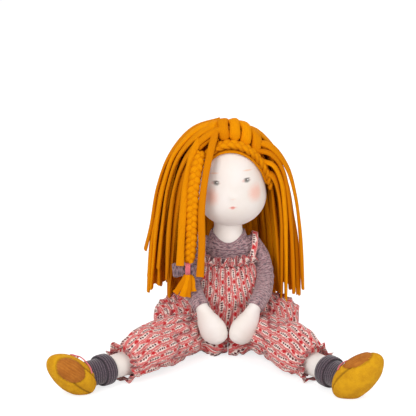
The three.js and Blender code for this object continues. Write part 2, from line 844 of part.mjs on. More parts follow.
function headbandForm(grow) {
  const turns = [-34, -14, 6, 26, 46, 66, 82];
  const lift = gap * 2 + hair.capWall + plait.thick / 2;
  const curve = new THREE.CatmullRomCurve3(turns.map((turn) => bandPoint(turn, lift, bandLean)));
  const middle = headPoint(0, 0, 0);
  const out = (u) => curve.getPointAt(u).sub(middle).normalize();
  return plaitForm(curve, 15, plait.bandWidth + 2 * grow, plait.thick + 2 * grow, out);
}

function makeHeadband() {
  return mainBody(cut(headbandForm(0), headForm(hair.capWall + 2 * gap)));
}

// Thin plain strip along the hairline, under the headband
function makeHairlineStrip() {
  const turns = [-36, -12, 12, 36, 58, 76];
  const points = turns.map((turn) => bandPoint(turn, 2 * gap + hair.capWall, bandLean + 5));
  const capSpace = headForm(hair.capWall + 2 * gap).intersect(behindHairline(2 * gap));
  return mainBody(cut(tube(points, 2.2, 5, 10), headForm(gap), capSpace, headbandForm(gap)));
}

// Loose strips in front of the headband and over the brow: [x, y, z] points
const frontStrips = {
  long: [[-13, -22, 263], [-19, -38, 245], [-25, -46, 218], [-30, -50, 178], [-30, -52.5, 133], [-32, -54.5, 99]],
  short: [[-22, -14, 262], [-38, -30, 243], [-48, -38, 212], [-54, -40, 165], [-58, -36.5, 112]],
};

function frontStrip(points, grow = 0) {
  return tube(points.map((p) => V(...p)), strand.radius + grow, strand.sides + 1, 10);
}

// Loops that rise behind the headband and run back to the crown
const loopTurns = [-20, -4, 12, 28, 44];

function makeCrownLoops() {
  const loops = loopTurns.map((turn) => {
    const low = bandPoint(turn, 2.6, bandLean - 16);
    const high = bandPoint(turn * 0.85, 10, bandLean - 26);
    const back = V(hair.crownX + low.x * 0.3, hair.crownY - 13, hair.crownZ + 5);
    return tube([low, high, back], strand.radius, strand.sides, 3);
  });
  const row = loopTurns.map((turn) => bandPoint(turn, 2, bandLean - 15));
  const all = join(tube(row, 2.4, 5, 5), ...loops);
  const front = Object.values(frontStrips).map((points) => frontStrip(points, gap));
  return mainBody(cut(all, headForm(hair.capWall + 2 * gap), headbandForm(gap), ...front));
}

// Braid in front of the shoulder, tied with a bow
const braidPath = [
  [-30.5, -33.5, 238],
  [-35, -42, 224],
  [-39, -47, 200],
  [-41, -48, 165],
  [-42, -48, 140],
  [-44, -46.5, 114],
];
const towardFront = () => V(0, -1, 0);

function braidForm(grow) {
  const curve = new THREE.CatmullRomCurve3(braidPath.map((p) => V(...p)));
  return plaitForm(curve, 18, plait.width + 2 * grow, plait.thick + 2 * grow, towardFront, 0.55);
}

function makeSideBraid() {
  return mainBody(cut(braidForm(0), headbandForm(gap), headForm(gap)));
}

const bowCentre = V(-45.5, -46, 106);

// Bow: two soft loops either side of a knot
function bowForm(grow) {
  const wing = (dir) => {
    const points = [[0, 0], [0.3, 2.5], [0.7, 1.5], [1, -1.5]];
    const size = [0.36, 0.75, 1, 0.85];
    const rings = points.map(([share, rise], i) => {
      const at = bowCentre.clone().add(V(dir * share * bow.span / 2, 0, rise - dir * share * 3.5));
      const h = (bow.height * size[i]) / 2 + grow;
      const t = (bow.thick * size[i]) / 2 + grow;
      return ringAcross(at, V(dir, 0, 0), t, h, 10);
    });
    return loft(rings);
  };
  return mainBody(join(wing(1), wing(-1)));
}

function makeBow() {
  return mainBody(cut(bowForm(0), braidForm(gap)));
}

// Soft cord wound round the middle of the bow
function tieForm(grow) {
  const { x, y, z } = bowCentre;
  const ring = (dx, r) => ringAcross(V(x + dx, y, z), V(1, 0, 0), bow.thick / 2 + r, bow.height * 0.3 + r, 12);
  return loft([ring(-3 - grow, 0.4 + grow), ring(-1.5, 1.6 + grow), ring(1.5, 1.6 + grow), ring(3 + grow, 0.4 + grow)]);
}

function makeTie() {
  return mainBody(cut(tieForm(0), bowForm(gap), braidForm(gap)));
}

// Loose ends of the braid, fanned below the bow
const endPaths = [
  [[-48, -46, 97], [-55, -47.5, 89], [-61, -48, 79]],
  [[-45.5, -46, 97], [-48, -48, 86], [-51, -49, 74]],
  [[-43, -46, 97], [-40, -47.5, 89], [-40, -48, 79]],
];

function makeBraidEnds() {
  const knot = ball(V(bowCentre.x, bowCentre.y + 1, 98), 6, 4, 3.5, 7, 4);
  const strips = endPaths.map((points) => tube(points.map((p) => V(...p)), strand.radius, 5, 3));
  return mainBody(cut(join(knot, ...strips), bowForm(gap), tieForm(gap)));
}

// Shoelace: tied across the instep, with one loop and two free ends
// [ahead of the foot's middle, degrees round from the inner side, lift]
const lacePlaces = [
  [4, 12, 0], [3, 30, 0], [2, 52, 0], [1, 72, 0], [1, 90, 0.3],
  [5, 104, 0.3], [10, 100, 0.2], [10, 86, 0.2], [5, 80, 0.8], [1, 88, 2.2],
  [0, 104, 1.2], [-2, 122, 0.2], [-7, 142, 0], [-10, 160, 0],
];

function lacePath(side) {
  const { forward, top, inward, centre } = footFrame(side);
  const wall = 2 * gap + sock.wall + shoe.wall + lace.lift;
  return lacePlaces.map(([ahead, around, lift]) => {
    const share = Math.sqrt(1 - (ahead / (leg.footLength / 2 + wall)) ** 2);
    const taper = share * (1 - (0.24 * ahead) / leg.footLength);
    return centre.clone()
      .addScaledVector(forward, ahead)
      .addScaledVector(inward, (leg.footHalfWidth + wall + lift) * taper * Math.cos(rad(around)))
      .addScaledVector(top, (leg.footHalfHeight + wall + lift) * taper * Math.sin(rad(around)));
  });
}

function makeLace(side) {
  return tube(lacePath(side), lace.diameter / 2, 5, 19);
}

// Assembly

const colours = {
  jersey: 0xf3e9dc,
  hair: 0xe08c12,
  knit: 0x6f646b,
  print: 0xc8686a,
  rib: 0x3f3a44,
  suede: 0xcf9a1d,
  plug: 0xb4651f,
  cord: 0xe0656e,
};

const doll = new THREE.Group();
doll.name = 'rag_doll';

function addPiece(name, solid, colour, roughness = 0.9) {
  const material = new THREE.MeshStandardMaterial({ color: colour, roughness, metalness: 0 });
  const mesh = new THREE.Mesh(geometryFrom(solid), material);
  mesh.name = name;
  doll.add(mesh);
  return mesh;
}

const label = { 1: 'left', [-1]: 'right' };

addPiece('head', makeHead(), colours.jersey);
addPiece('neck', makeNeck(), colours.jersey);
addPiece('body', makeTorso(), colours.jersey);
addPiece('sweater', makeSweater(), colours.knit);
addPiece('romper_body', makeRomperBody(), colours.print);
addPiece('bib_ruffle_front', makeBibRuffle(true), colours.print);
addPiece('bib_ruffle_back', makeBibRuffle(false), colours.print);
addPiece('hair_cap', makeCap(), colours.hair);
addPiece('headband_braid', makeHeadband(), colours.hair);
addPiece('hairline_strip', makeHairlineStrip(), colours.hair);
addPiece('crown_loops', makeCrownLoops(), colours.hair);
addPiece('front_strip_long', frontStrip(frontStrips.long), colours.hair);
addPiece('front_strip_short', frontStrip(frontStrips.short), colours.hair);
addPiece('side_braid', makeSideBraid(), colours.hair);
addPiece('braid_bow', makeBow(), colours.knit);
addPiece('braid_tie', makeTie(), colours.cord);
addPiece('braid_ends', makeBraidEnds(), colours.hair);
for (const side of sides) {
  const tag = label[side];
  for (const row of Object.keys(hairRows)) addPiece(`hair_${row}_${tag}`, makeHairRow(row, side), colours.hair);
  addPiece(`strap_${tag}`, makeStrap(side), colours.print);
  addPiece(`lace_${tag}`, makeLace(side), colours.cord);
  addPiece(`arm_${tag}`, armForm(side, 0), colours.jersey);
  addPiece(`sleeve_${tag}`, makeSleeve(side), colours.knit);
  addPiece(`leg_${tag}`, mainBody(cut(legForm(side, 0), belowFloor, seatForm(turnGap), waistForm(turnGap))), colours.jersey);
  addPiece(`romper_leg_${tag}`, makeRomperLeg(side), colours.print);
  addPiece(`ankle_ruffle_${tag}`, makeAnkleRuffle(side), colours.print);
  addPiece(`sock_${tag}`, makeSock(side), colours.rib);
  addPiece(`sock_cuff_${tag}`, makeSockCuff(side), colours.rib);
  addPiece(`shoe_${tag}`, makeShoe(side), colours.suede);
  addPiece(`shoe_plug_${tag}`, makePlug(side), colours.plug);
}

export default doll;
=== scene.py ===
"""Looks of a seated rag doll: stuffed jersey, strip hair, knit, printed cotton, suede shoes.

Shapes are worked out in millimetres. place() turns a finished mesh to metres.
"""

import math
import random
from functools import partial

import bmesh
import bpy
import numpy as np
from mathutils import Matrix, Vector, noise


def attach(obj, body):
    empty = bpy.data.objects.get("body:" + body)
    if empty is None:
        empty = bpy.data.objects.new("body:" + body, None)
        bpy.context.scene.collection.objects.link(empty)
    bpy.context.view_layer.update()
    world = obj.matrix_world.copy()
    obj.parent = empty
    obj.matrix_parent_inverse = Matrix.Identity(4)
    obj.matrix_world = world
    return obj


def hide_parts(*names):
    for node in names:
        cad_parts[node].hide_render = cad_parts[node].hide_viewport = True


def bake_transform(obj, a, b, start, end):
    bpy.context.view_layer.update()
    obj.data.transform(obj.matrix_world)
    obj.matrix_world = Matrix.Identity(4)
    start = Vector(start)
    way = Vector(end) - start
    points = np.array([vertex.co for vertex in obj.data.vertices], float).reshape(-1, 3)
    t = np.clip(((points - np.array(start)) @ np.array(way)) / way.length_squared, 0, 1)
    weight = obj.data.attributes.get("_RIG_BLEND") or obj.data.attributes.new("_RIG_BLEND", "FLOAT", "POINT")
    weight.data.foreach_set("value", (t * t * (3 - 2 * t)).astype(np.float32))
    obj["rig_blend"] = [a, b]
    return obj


bl_info = {
    "name": "Seated rag doll",
    "version": (1, 0, 0),
    "blender": (4, 5, 0),
    "location": "View3D > Sidebar > Rag doll",
    "description": "Dresses the packed doll in cloth, hair strips and shoes",
    "category": "Object",
}

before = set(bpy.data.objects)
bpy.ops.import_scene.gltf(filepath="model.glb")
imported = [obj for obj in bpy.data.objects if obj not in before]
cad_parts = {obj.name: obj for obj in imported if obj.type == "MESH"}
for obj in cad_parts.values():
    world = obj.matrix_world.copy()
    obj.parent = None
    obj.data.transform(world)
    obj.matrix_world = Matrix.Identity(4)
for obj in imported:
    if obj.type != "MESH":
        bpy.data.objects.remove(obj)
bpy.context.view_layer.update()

MM = 0.001
SIDES = {"left": 1, "right": -1}


# Curves


def V(x, y, z):
    return Vector((x, y, z))


def lerp(a, b, t):
    return a + (b - a) * t


def between(stations, at):
    """Eased value between named stations [(at, value), ...]."""
    if at <= stations[0][0]:
        return stations[0][1]
    for (a, va), (b, vb) in zip(stations, stations[1:]):
        if at <= b:
            t = (at - a) / (b - a)
            return lerp(va, vb, t * t * (3 - 2 * t))
    return stations[-1][1]


# Straight steps between two given points of a curve, before it is spaced evenly
CURVE_STEPS = 16


def smooth_line(points, count):
    """Evenly spaced points on a centripetal curve through the given ones."""
    p = [Vector(q) for q in points]
    p = [2 * p[0] - p[1]] + p + [2 * p[-1] - p[-2]]
    dense = []
    for p0, p1, p2, p3 in zip(p, p[1:], p[2:], p[3:]):
        t1 = max((p1 - p0).length ** 0.5, 1e-6)
        t2 = t1 + max((p2 - p1).length ** 0.5, 1e-6)
        t3 = t2 + max((p3 - p2).length ** 0.5, 1e-6)
        for k in range(CURVE_STEPS):
            t = lerp(t1, t2, k / CURVE_STEPS)
            a1 = p0.lerp(p1, t / t1)
            a2 = p1.lerp(p2, (t - t1) / (t2 - t1))
            a3 = p2.lerp(p3, (t - t2) / (t3 - t2))
            b1 = a1.lerp(a2, t / t2)
            b2 = a2.lerp(a3, (t - t1) / (t3 - t1))
            dense.append(b1.lerp(b2, (t - t1) / (t2 - t1)))
    dense.append(p[-2])
    c = np.array(dense)
    run = np.concatenate([[0], np.cumsum(np.linalg.norm(np.diff(c, axis=0), axis=1))])
    even = np.linspace(0, run[-1], count)
    return [Vector(q) for q in np.stack([np.interp(even, run, c[:, k]) for k in range(3)], 1)]


def line_length(line):
    """Length of a line as the sum of its steps."""
    return sum((b - a).length for a, b in zip(line, line[1:]))


def direction(line, i):
    """The way a line runs at one of its points."""
    return (line[min(i + 1, len(line) - 1)] - line[max(i - 1, 0)]).normalized()


def square_to(way, t):
    """What is left of a way when it is turned square to a line's direction."""
    o = Vector(way)
    return (o - t * o.dot(t)).normalized()


# Mesh tools

LAYERS = ("turn", "along", "tone")


def new_bmesh():
    """A mesh whose points keep their turn round a line, their way along it and their tone."""
    bm = bmesh.new()
    for name in LAYERS:
        bm.verts.layers.float.new(name)
    return bm


def layers_of(bm):
    return [bm.verts.layers.float[name] for name in LAYERS]


def next_ring(bm, edges):
    """Extrudes a row of edges and gives the new points and edges."""
    grown = bmesh.ops.extrude_edge_only(bm, edges=edges)["geom"]
    points = [g for g in grown if isinstance(g, bmesh.types.BMVert)]
    return points, [g for g in grown if isinstance(g, bmesh.types.BMEdge)]


def at_point(source, i, u):
    """A width given as one number, as a list with one for each point, or as a function of the share."""
    if callable(source):
        return source(u)
    return source[i] if isinstance(source, list) else source


def sweep(bm, line, out, wide, deep, sides=12, square=2.0, tone=0.5, close=True, start=0.0):
    """Skin drawn along a line by extruding an oval ring. out gives the way that its depth faces."""
    turn, along, shade = layers_of(bm)
    made = bmesh.ops.create_circle(bm, segments=sides, radius=1)["verts"]
    for k, v in enumerate(made):
        v[turn] = k / sides
    edges = list({e for v in made for e in v.link_edges})
    first, last, run = edges, edges, start
    rings = []
    for i, centre in enumerate(line):
        if i:
            made, last = next_ring(bm, last)
            run += (centre - line[i - 1]).length
        u = i / (len(line) - 1)
        t = direction(line, i)
        o = square_to(out(u, centre, t) if callable(out) else out, t)
        a = o.cross(t)
        w, d = at_point(wide, i, u), at_point(deep, i, u)
        for v in made:
            angle = 2 * math.pi * v[turn]
            c, s = math.cos(angle), math.sin(angle)
            c = math.copysign(abs(c) ** (2 / square), c)
            s = math.copysign(abs(s) ** (2 / square), s)
            v.co = centre + a * (w * c) + o * (d * s)
            v[along] = run
            v[shade] = tone
        rings.append(made)
    if close:
        for ring in (first, last):
            bmesh.ops.contextual_create(bm, geom=ring)
            for e in ring:
                e.smooth = False
    return rings


def read_points(mesh, name="co"):
    """Places or normals of a mesh's points, or their values in an attribute."""
    if name in ("co", "normal"):
        flat = np.zeros(len(mesh.vertices) * 3)
        mesh.vertices.foreach_get(name, flat)
        return flat.reshape(-1, 3)
    values = np.zeros(len(mesh.vertices))
    mesh.attributes[name].data.foreach_get("value", values)
    return values


def write_points(mesh, co):
    mesh.vertices.foreach_set("co", np.asarray(co, float).ravel())
    mesh.update()


def write_tone(mesh, values):
    """Painted shade at each point, as the materials draw it: 0 deep in a fold, 1 on top."""
    layer = mesh.attributes.get("tone") or mesh.attributes.new("tone", "FLOAT", "POINT")
    layer.data.foreach_set("value", np.asarray(np.clip(values, 0, 1), np.float32))


def push_out(mesh, lift):
    """Moves each point along its normal by its own lift."""
    write_points(mesh, read_points(mesh) + read_points(mesh, "normal") * lift[:, None])


def wrap(mesh, turn, along, girth):
    """UV in centimetres: once round is the girth, and the seam face closes on itself."""
    loops = np.zeros(len(mesh.loops), int)
    mesh.loops.foreach_get("vertex_index", loops)
    starts = np.zeros(len(mesh.polygons), int)
    totals = np.zeros(len(mesh.polygons), int)
    mesh.polygons.foreach_get("loop_start", starts)
    mesh.polygons.foreach_get("loop_total", totals)
    u = np.asarray(turn, float)[loops]
    high = np.repeat(np.maximum.reduceat(u, starts), totals)
    u = np.where(high - u > 0.5, u + 1, u)
    uv = mesh.uv_layers.get("cloth") or mesh.uv_layers.new(name="cloth")
    flat = np.stack([u * girth / 10, np.asarray(along, float)[loops] / 10], 1)
    uv.data.foreach_set("uv", flat.ravel())


def to_mesh(bm):
    """The finished bmesh as a mesh, with its faces outwards."""
    bmesh.ops.recalc_face_normals(bm, faces=bm.faces)
    mesh = bpy.data.meshes.new("work")
    bm.to_mesh(mesh)
    bm.free()
    return mesh


def add_object(name, data):
    obj = bpy.data.objects.new(name, data)
    bpy.context.scene.collection.objects.link(obj)
    return obj


def place(mesh, name, finish, node_name, body=None, girth=None, floor=0.0):
    """A finished object in metres that replaces one node. Nothing of it lies lower than floor."""
    co = read_points(mesh)
    low = co[:, 2] < floor + 1
    co[low, 2] = floor + np.exp(np.clip(co[low, 2] - floor - 1, -6, 0))
    write_points(mesh, co)
    if girth:
        wrap(mesh, read_points(mesh, "turn"), read_points(mesh, "along"), girth)
    for spare in ("turn", "along"):
        if spare in mesh.attributes:
            mesh.attributes.remove(mesh.attributes[spare])
    mesh.transform(Matrix.Scale(MM, 4))
    mesh.name = name
    mesh.materials.append(material(finish))
    mesh.polygons.foreach_set("use_smooth", [True] * len(mesh.polygons))
    mesh.update()
    obj = add_object(name, mesh)
    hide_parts(node_name)
    if body:
        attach(obj, body)
    return obj


def evaluated(mesh, *modifiers):
    """The mesh after modifiers, given as (type, settings)."""
    obj = add_object("work", mesh)
    for kind, settings in modifiers:
        m = obj.modifiers.new(kind, kind)
        for key, value in settings.items():
            setattr(m, key, value)
    depsgraph = bpy.context.evaluated_depsgraph_get()
    result = bpy.data.meshes.new_from_object(obj.evaluated_get(depsgraph))
    bpy.data.objects.remove(obj)
    return result


# Edge of the voxels in which closed forms become one skin
VOXEL = 2.4


def fuse(mesh, relax):
    """One even skin over closed forms that pass through each other."""
    return evaluated(
        mesh,
        ("REMESH", {"mode": "VOXEL", "voxel_size": VOXEL}),
        ("SMOOTH", {"factor": 0.5, "iterations": relax}),
        ("SUBSURF", {"levels": 1, "render_levels": 1}),
    )


def rumple(co, size, seed=0.0, stretch=(1, 1, 1)):
    """Soft noise from -1 to 1 at each point, with folds about this many mm apart."""
    s = np.array(stretch) / size
    return np.array([noise.noise(Vector(p * s) + V(seed, seed * 0.7, -seed)) for p in co]) * 1.6


def creases(co, size, seed=0.0, stretch=(1, 1, 1)):
    """Narrow valleys between soft folds, 0 to 1."""
    return np.clip(1 - np.abs(rumple(co, size, seed, stretch)) * 2.2, 0, 1) ** 2


# Sizes shared with the solids

HEAD = {"r": 39.2, "z": 180.0, "below": 34.6, "above": 79.0, "x": 4.5, "y": -4.0, "lean": 5.0}
EYES_X = {-1: -16.2, 1: 18.2}
EYES_Z = 24.7
NECK = V(0, -4, 132)
TRUNK_Y = -4
SHOULDER = V(28, -3, 121.5)
BALL = 11.0
# Points of the left arm from its shoulder
ARM_PATH = [
    (0, 0, 0), (9.5, -3, -12), (13, -7, -24), (14.5, -13, -36), (12, -28, -47.5),
    (7, -40, -54), (2, -49, -60), (-5.5, -55, -75), (-14.3, -60, -90), (-17.8, -62, -99),
]
# The left arm's hinge, and how far the arms swing on theirs
SWING_AXIS = V(-0.861934, 0, 0.50702)
SWING_END = 80
CUFF_AT = 0.66
LEG = {"length": 186.0, "start": 26, "thigh": 16.0, "ankle": 12.2, "hem": 126.0}
FOOT = {"half": 29.0, "width": 16.5, "height": 13.5}
SOCK_TOP = 151.5
LEG_PLACE = {
    1: {"hip": (24, -5), "splay": 34.5, "bow": 8, "point": 29, "roll": 36, "plug": -65},
    -1: {"hip": (36, -12), "splay": 43, "bow": 16, "point": 44, "roll": 16, "plug": -100},
}
# Height of a leg's middle line at stations along it
LEG_LINE = [(0, 24), (60, 24), (126, 19.5), (186, 17.5)]
SEAT_Z = 31
HAIR_CENTRE = V(-3, 2, 0)
UP = (0, 0, 1)
FRONT = (0, -1, 0)


def head_matrix():
    lean = Matrix.Rotation(math.radians(-HEAD["lean"]), 4, "Y")
    return Matrix.Translation((HEAD["x"], HEAD["y"], HEAD["z"])) @ lean


def on_head(x, y, z):
    """A place given in the leaning head's own frame."""
    return head_matrix() @ V(x, y, z)


def band_point(turn, lift, lean):
    """A point over the head on an arch from ear to ear that leans forward."""
    t, a = math.radians(turn), math.radians(lean)
    r, h = HEAD["r"] + lift, HEAD["above"] + lift
    return on_head(r * math.sin(t), -r * math.sin(a) * math.cos(t), h * math.cos(a) * math.cos(t))


def arm_line(side, count):
    """Middle line of a resting arm, from its shoulder."""
    points = [V(side * (SHOULDER.x + x), SHOULDER.y + y, SHOULDER.z + z) for x, y, z in ARM_PATH]
    return smooth_line(points, count)


def leg_way(side):
    """The level way that a leg points, and the way outwards from it."""
    a = math.radians(LEG_PLACE[side]["splay"])
    return V(side * math.sin(a), -math.cos(a), 0), V(side * math.cos(a), math.sin(a), 0)


def leg_point(side, along, z):
    """A point of a leg's bowed middle line, at a height of its own."""
    way, outward = leg_way(side)
    share = min(max(along / LEG["length"], 0), 1)
    hip = LEG_PLACE[side]["hip"]
    bow = LEG_PLACE[side]["bow"]
    return V(side * hip[0], hip[1], z) + way * along - outward * bow * math.sin(math.pi * share)


def leg_points(side, stations):
    return [leg_point(side, at, between(LEG_LINE, at)) for at in stations]


def foot_frame(side):
    """Ways to the toe, to the instep and to the other foot, and the foot's middle."""
    way, outward = leg_way(side)
    roll, point = (math.radians(LEG_PLACE[side][k]) for k in ("roll", "point"))
    rise = V(0, 0, 1) * math.cos(roll) + outward * math.sin(roll)
    forward = rise * math.cos(point) + way * math.sin(point)
    top = rise * math.sin(point) - way * math.cos(point)
    inward = forward.cross(top) * -side
    heel = leg_point(side, LEG["length"] - 2, between(LEG_LINE, LEG["length"]))
    return forward, top, inward, heel + forward * 12 - top * 4


# Materials

# Settings that many nodes share
EASED = {"interpolation_type": "SMOOTHSTEP"}
COLOURS = {"data_type": "RGBA"}
LENGTHWAYS = {"bands_direction": "X"}
ROUND = {"bands_direction": "Y"}


def linear(hex_colour):
    """sRGB hex to linear red, green, blue, alpha."""
    value = hex_colour.lstrip("#")
    parts = [int(value[i : i + 2], 16) / 255 for i in (0, 2, 4)]
    return tuple(c / 12.92 if c <= 0.04045 else ((c + 0.055) / 1.055) ** 2.4 for c in parts) + (1.0,)


def node(tree, kind, inputs=(), out=0, **settings):
    """Adds a node with its settings, and with values or links for its inputs. Gives one output."""
    n = tree.nodes.new("ShaderNode" + kind)
    for key, value in settings.items():
        setattr(n, key, value)
    for key, value in inputs.items() if isinstance(inputs, dict) else enumerate(inputs):
        if isinstance(value, bpy.types.NodeSocket):
            tree.links.new(value, n.inputs[key])
        else:
            n.inputs[key].default_value = value
    return n.outputs[out] if n.outputs else None


def new_material(name):
    """An empty material, and what adds nodes to it."""
    made = bpy.data.materials.new(name)
    made.use_nodes = True
    made.node_tree.nodes.clear()
    return made, partial(node, made.node_tree)


def finish_cloth(add, ground, layers, height, strength, depth, shader):
    """Lays colours over the ground through their masks, and joins them and the relief to a surface."""
    for mask, colour in layers:
        ground = add("Mix", {"Factor": mask, "A": ground, "B": colour}, "Result", **COLOURS)
    relief = add("Bump", {"Height": height, "Strength": strength, "Distance": depth * MM})
    surface = add("BsdfPrincipled", {"Base Color": ground, "Normal": relief, **shader})
    add("OutputMaterial", {"Surface": surface})


def skin_jersey(name, colour, painted=False):
    """Dense cotton jersey pulled tight over filling: matt, almost no stitch shows, a little soft sheen."""
    made, add = new_material(name)
    coord = add("TexCoord", (), "Object")
    # Fabric tone drifts over some 35 mm; the stitch is drawn at 0.9 mm, coarser than real, to show
    drift = add("TexNoise", {"Vector": coord, "Scale": 28.0, "Detail": 3.0}, "Fac")
    fine = add("TexNoise", {"Vector": coord, "Scale": 1100.0, "Detail": 2.0}, "Fac")
    layers = [(add("MapRange", [drift, 0.3, 0.75], **EASED), linear("#E4D9D0"))]
    if painted:
        layers += painted_face(add, coord)
    shader = {"Roughness": 0.82, "Sheen Weight": 0.25, "Sheen Roughness": 0.5, "IOR": 1.45}
    finish_cloth(add, colour, layers, fine, 0.25, 0.25, shader)
    return made


# Sprayed spots, and one painted shadow under the nose: x, z, half width, half height, softness, strength,
# colour.
# Spots of an eye are placed from its middle, a brow only sideways from it
CHEEKS = [(-24.0, 9.5, 7.0, 8.0, 0.8, 0.6, "#ECA58D"), (27.0, 9.0, 7.0, 8.0, 0.8, 0.6, "#ECA58D")]
EYE_SPOTS = [
    (-2.6, 0.2, 2.6, 1.5, 0.7, 0.5, "#D9907E"),
    (2.9, 0.0, 1.9, 1.2, 0.7, 0.35, "#C9A79A"),
    (0.0, 0.0, 3.1, 2.6, 0.4, 0.8, "#8F8D86"),
    (0.1, 0.4, 2.0, 1.8, 0.45, 0.85, "#5B5955"),
    (0.0, 2.1, 3.2, 0.8, 0.6, 0.65, "#5F544E"),
    (1.0, 0.7, 0.75, 0.7, 0.5, 0.75, "#F2F0EC"),
]
BROW = (1.8, 35.6, 4.4, 0.8, 0.7, 0.5, "#E9A777")
BROW_LEAN = 6.0
# Drops the depth of a place on the face
FLAT = (1, 0, 1)
MOUTH_AND_NOSE_SHADOW = [
    (-0.1, -3.6, 4.0, 1.1, 0.6, 0.55, "#E8A08F"),
    (-0.1, -3.7, 2.1, 1.7, 0.45, 0.7, "#D9796C"),
    (-0.1, -3.1, 3.1, 0.4, 0.6, 0.55, "#C5655B"),
    # Painted shadow under the nose's bump
    (1.0, 6.4, 2.6, 0.9, 0.9, 0.28, "#E2B7A0"),
]


def face_spots():
    """All spots of the face in order, each with its lean."""
    blush = bpy.context.scene.doll_face.blush
    spots = [(*spot[:5], spot[5] * blush, spot[6], 0) for spot in CHEEKS]
    for side, x in sorted(EYES_X.items()):
        spots += [(x + dx, EYES_Z + dz, *rest, 0) for dx, dz, *rest in EYE_SPOTS]
        spots.append((x + side * BROW[0], *BROW[1:], -side * BROW_LEAN))
    return spots + [(*spot, 0) for spot in MOUTH_AND_NOSE_SHADOW]


def painted_face(add, coord):
    """Masks and colours of the face, with a painted shadow under the nose, placed in the leaning head's own
    frame.
    """
    head = {
        "Vector": coord,
        "Location": [HEAD[k] * MM for k in "xyz"],
        "Rotation": [0, math.radians(-HEAD["lean"]), 0],
    }
    local = add("Mapping", head, vector_type="TEXTURE")
    local = add("VectorMath", [local, [1 / MM] * 3], operation="MULTIPLY")
    front = add("MapRange", [add("SeparateXYZ", [local], "Y"), -18.0, -24.0], **EASED)
    flat = add("VectorMath", [local, FLAT], operation="MULTIPLY")
    grain_and_shade = add("TexNoise", {"Vector": coord, "Scale": 420.0, "Detail": 3.0}, "Fac")
    grain_and_shade = add("Math", [grain_and_shade, 0.5, -0.25], operation="MULTIPLY_ADD")
    layers = []
    for x, z, half_wide, half_tall, soft, strength, colour, lean in face_spots():
        oval = {
            "Vector": flat,
            "Location": [x, 0, z],
            "Rotation": [0, math.radians(-lean), 0],
            "Scale": [half_wide, 1, half_tall],
        }
        oval = add("Mapping", oval, vector_type="TEXTURE")
        far = add("Math", [add("VectorMath", [oval], "Value", operation="LENGTH"), grain_and_shade], operation="ADD")
        mask = add("MapRange", [far, 1 + soft, 1 - soft], **EASED)
        mask = add("Math", [mask, front], operation="MULTIPLY")
        layers.append((add("Math", [mask, strength], operation="MULTIPLY"), linear(colour)))
    return layers


def strip_jersey(name, colour, fold):
    """Jersey cut in strips, which rolls to a soft cord: lengthwise ribs, matt, some strips darker than
    others, with painted shade in its folds and a painted highlight on the ribs.
    """
    made, add = new_material(name)
    uv = add("UVMap", uv_map="cloth")
    tone = add("Attribute", (), "Fac", attribute_name="tone")
    # Ribs 0.8 mm apart along the strip, with slow streaks of painted shade 6 mm long
    ribs = {"Vector": uv, "Scale": 3.9, "Distortion": 1.4, "Detail": 2.0, "Detail Scale": 1.6}
    ribs = add("TexWave", ribs, "Fac", **LENGTHWAYS)
    stretch = add("Mapping", {"Vector": uv, "Scale": [6.0, 0.9, 1.0]})
    streak = add("TexNoise", {"Vector": stretch, "Scale": 1.6, "Detail": 3.0}, "Fac")
    layers = [
        # Low tone gives the darker colour: each strip's own chance tone, painted shade where plait strands
        # dip under, and the whole wig base, whose tone is 0
        (add("MapRange", [tone, 0.0, 1.0], **EASED), colour),
        # Painted shade in streaks along the rolled strip
        (add("MapRange", [streak, 0.42, 0.7, 0.0, 0.35], **EASED), fold),
        # Painted highlight on the rib crests
        (add("Math", [ribs, 0.14], operation="MULTIPLY"), linear("#F0A000")),
    ]
    relief = add("Math", [ribs, streak], operation="ADD")
    shader = {"Roughness": 0.95, "Specular IOR Level": 0.1, "IOR": 1.45}
    finish_cloth(add, fold, layers, relief, 0.35, 0.35, shader)
    return made


def marled_knit(name, light, dark, accent):
    """Single jersey knitted from a mottled yarn: short level dashes of light, dark and berry threads, with
    painted shade along the stitch rows.
    """
    made, add = new_material(name)
    uv = add("UVMap", uv_map="cloth")
    # Rows of stitches 1.2 mm apart, level flecks of one colour 4 to 8 mm long
    rows = {"Vector": uv, "Scale": 2.6, "Distortion": 1.5, "Detail": 2.0, "Detail Scale": 1.5}
    rows = add("TexWave", rows, "Fac", **ROUND)
    dash = add("Mapping", {"Vector": uv, "Scale": [1.0, 3.6, 1.0]})
    yarn = {"Vector": dash, "Scale": 1.8, "Detail": 4.0, "Roughness": 0.7}
    yarn = add("TexNoise", yarn, "Fac")
    berry = {"Vector": dash, "Scale": 3.4, "Detail": 2.0, "Distortion": 0.6}
    berry = add("TexNoise", berry, "Fac")
    layers = [
        (add("MapRange", [yarn, 0.43, 0.53], **EASED), light),
        (add("MapRange", [berry, 0.54, 0.64, 0.0, 0.65], **EASED), accent),
        (add("MapRange", [yarn, 0.58, 0.68, 0.0, 0.6], **EASED), linear("#DCCBCB")),
        # Painted shade along the stitch rows, in the dark yarn's colour
        (add("Math", [rows, 0.22], operation="MULTIPLY"), dark),
    ]
    relief = add("Math", [rows, yarn], operation="ADD")
    shader = {"Roughness": 0.95, "Sheen Weight": 0.3, "Sheen Roughness": 0.5, "IOR": 1.45}
    finish_cloth(add, dark, layers, relief, 0.6, 0.5, shader)
    return made


# Width of a column of the print and length of its repeat, in centimetres
PRINT_COLUMN = 0.72
PRINT_REPEAT = 2.0


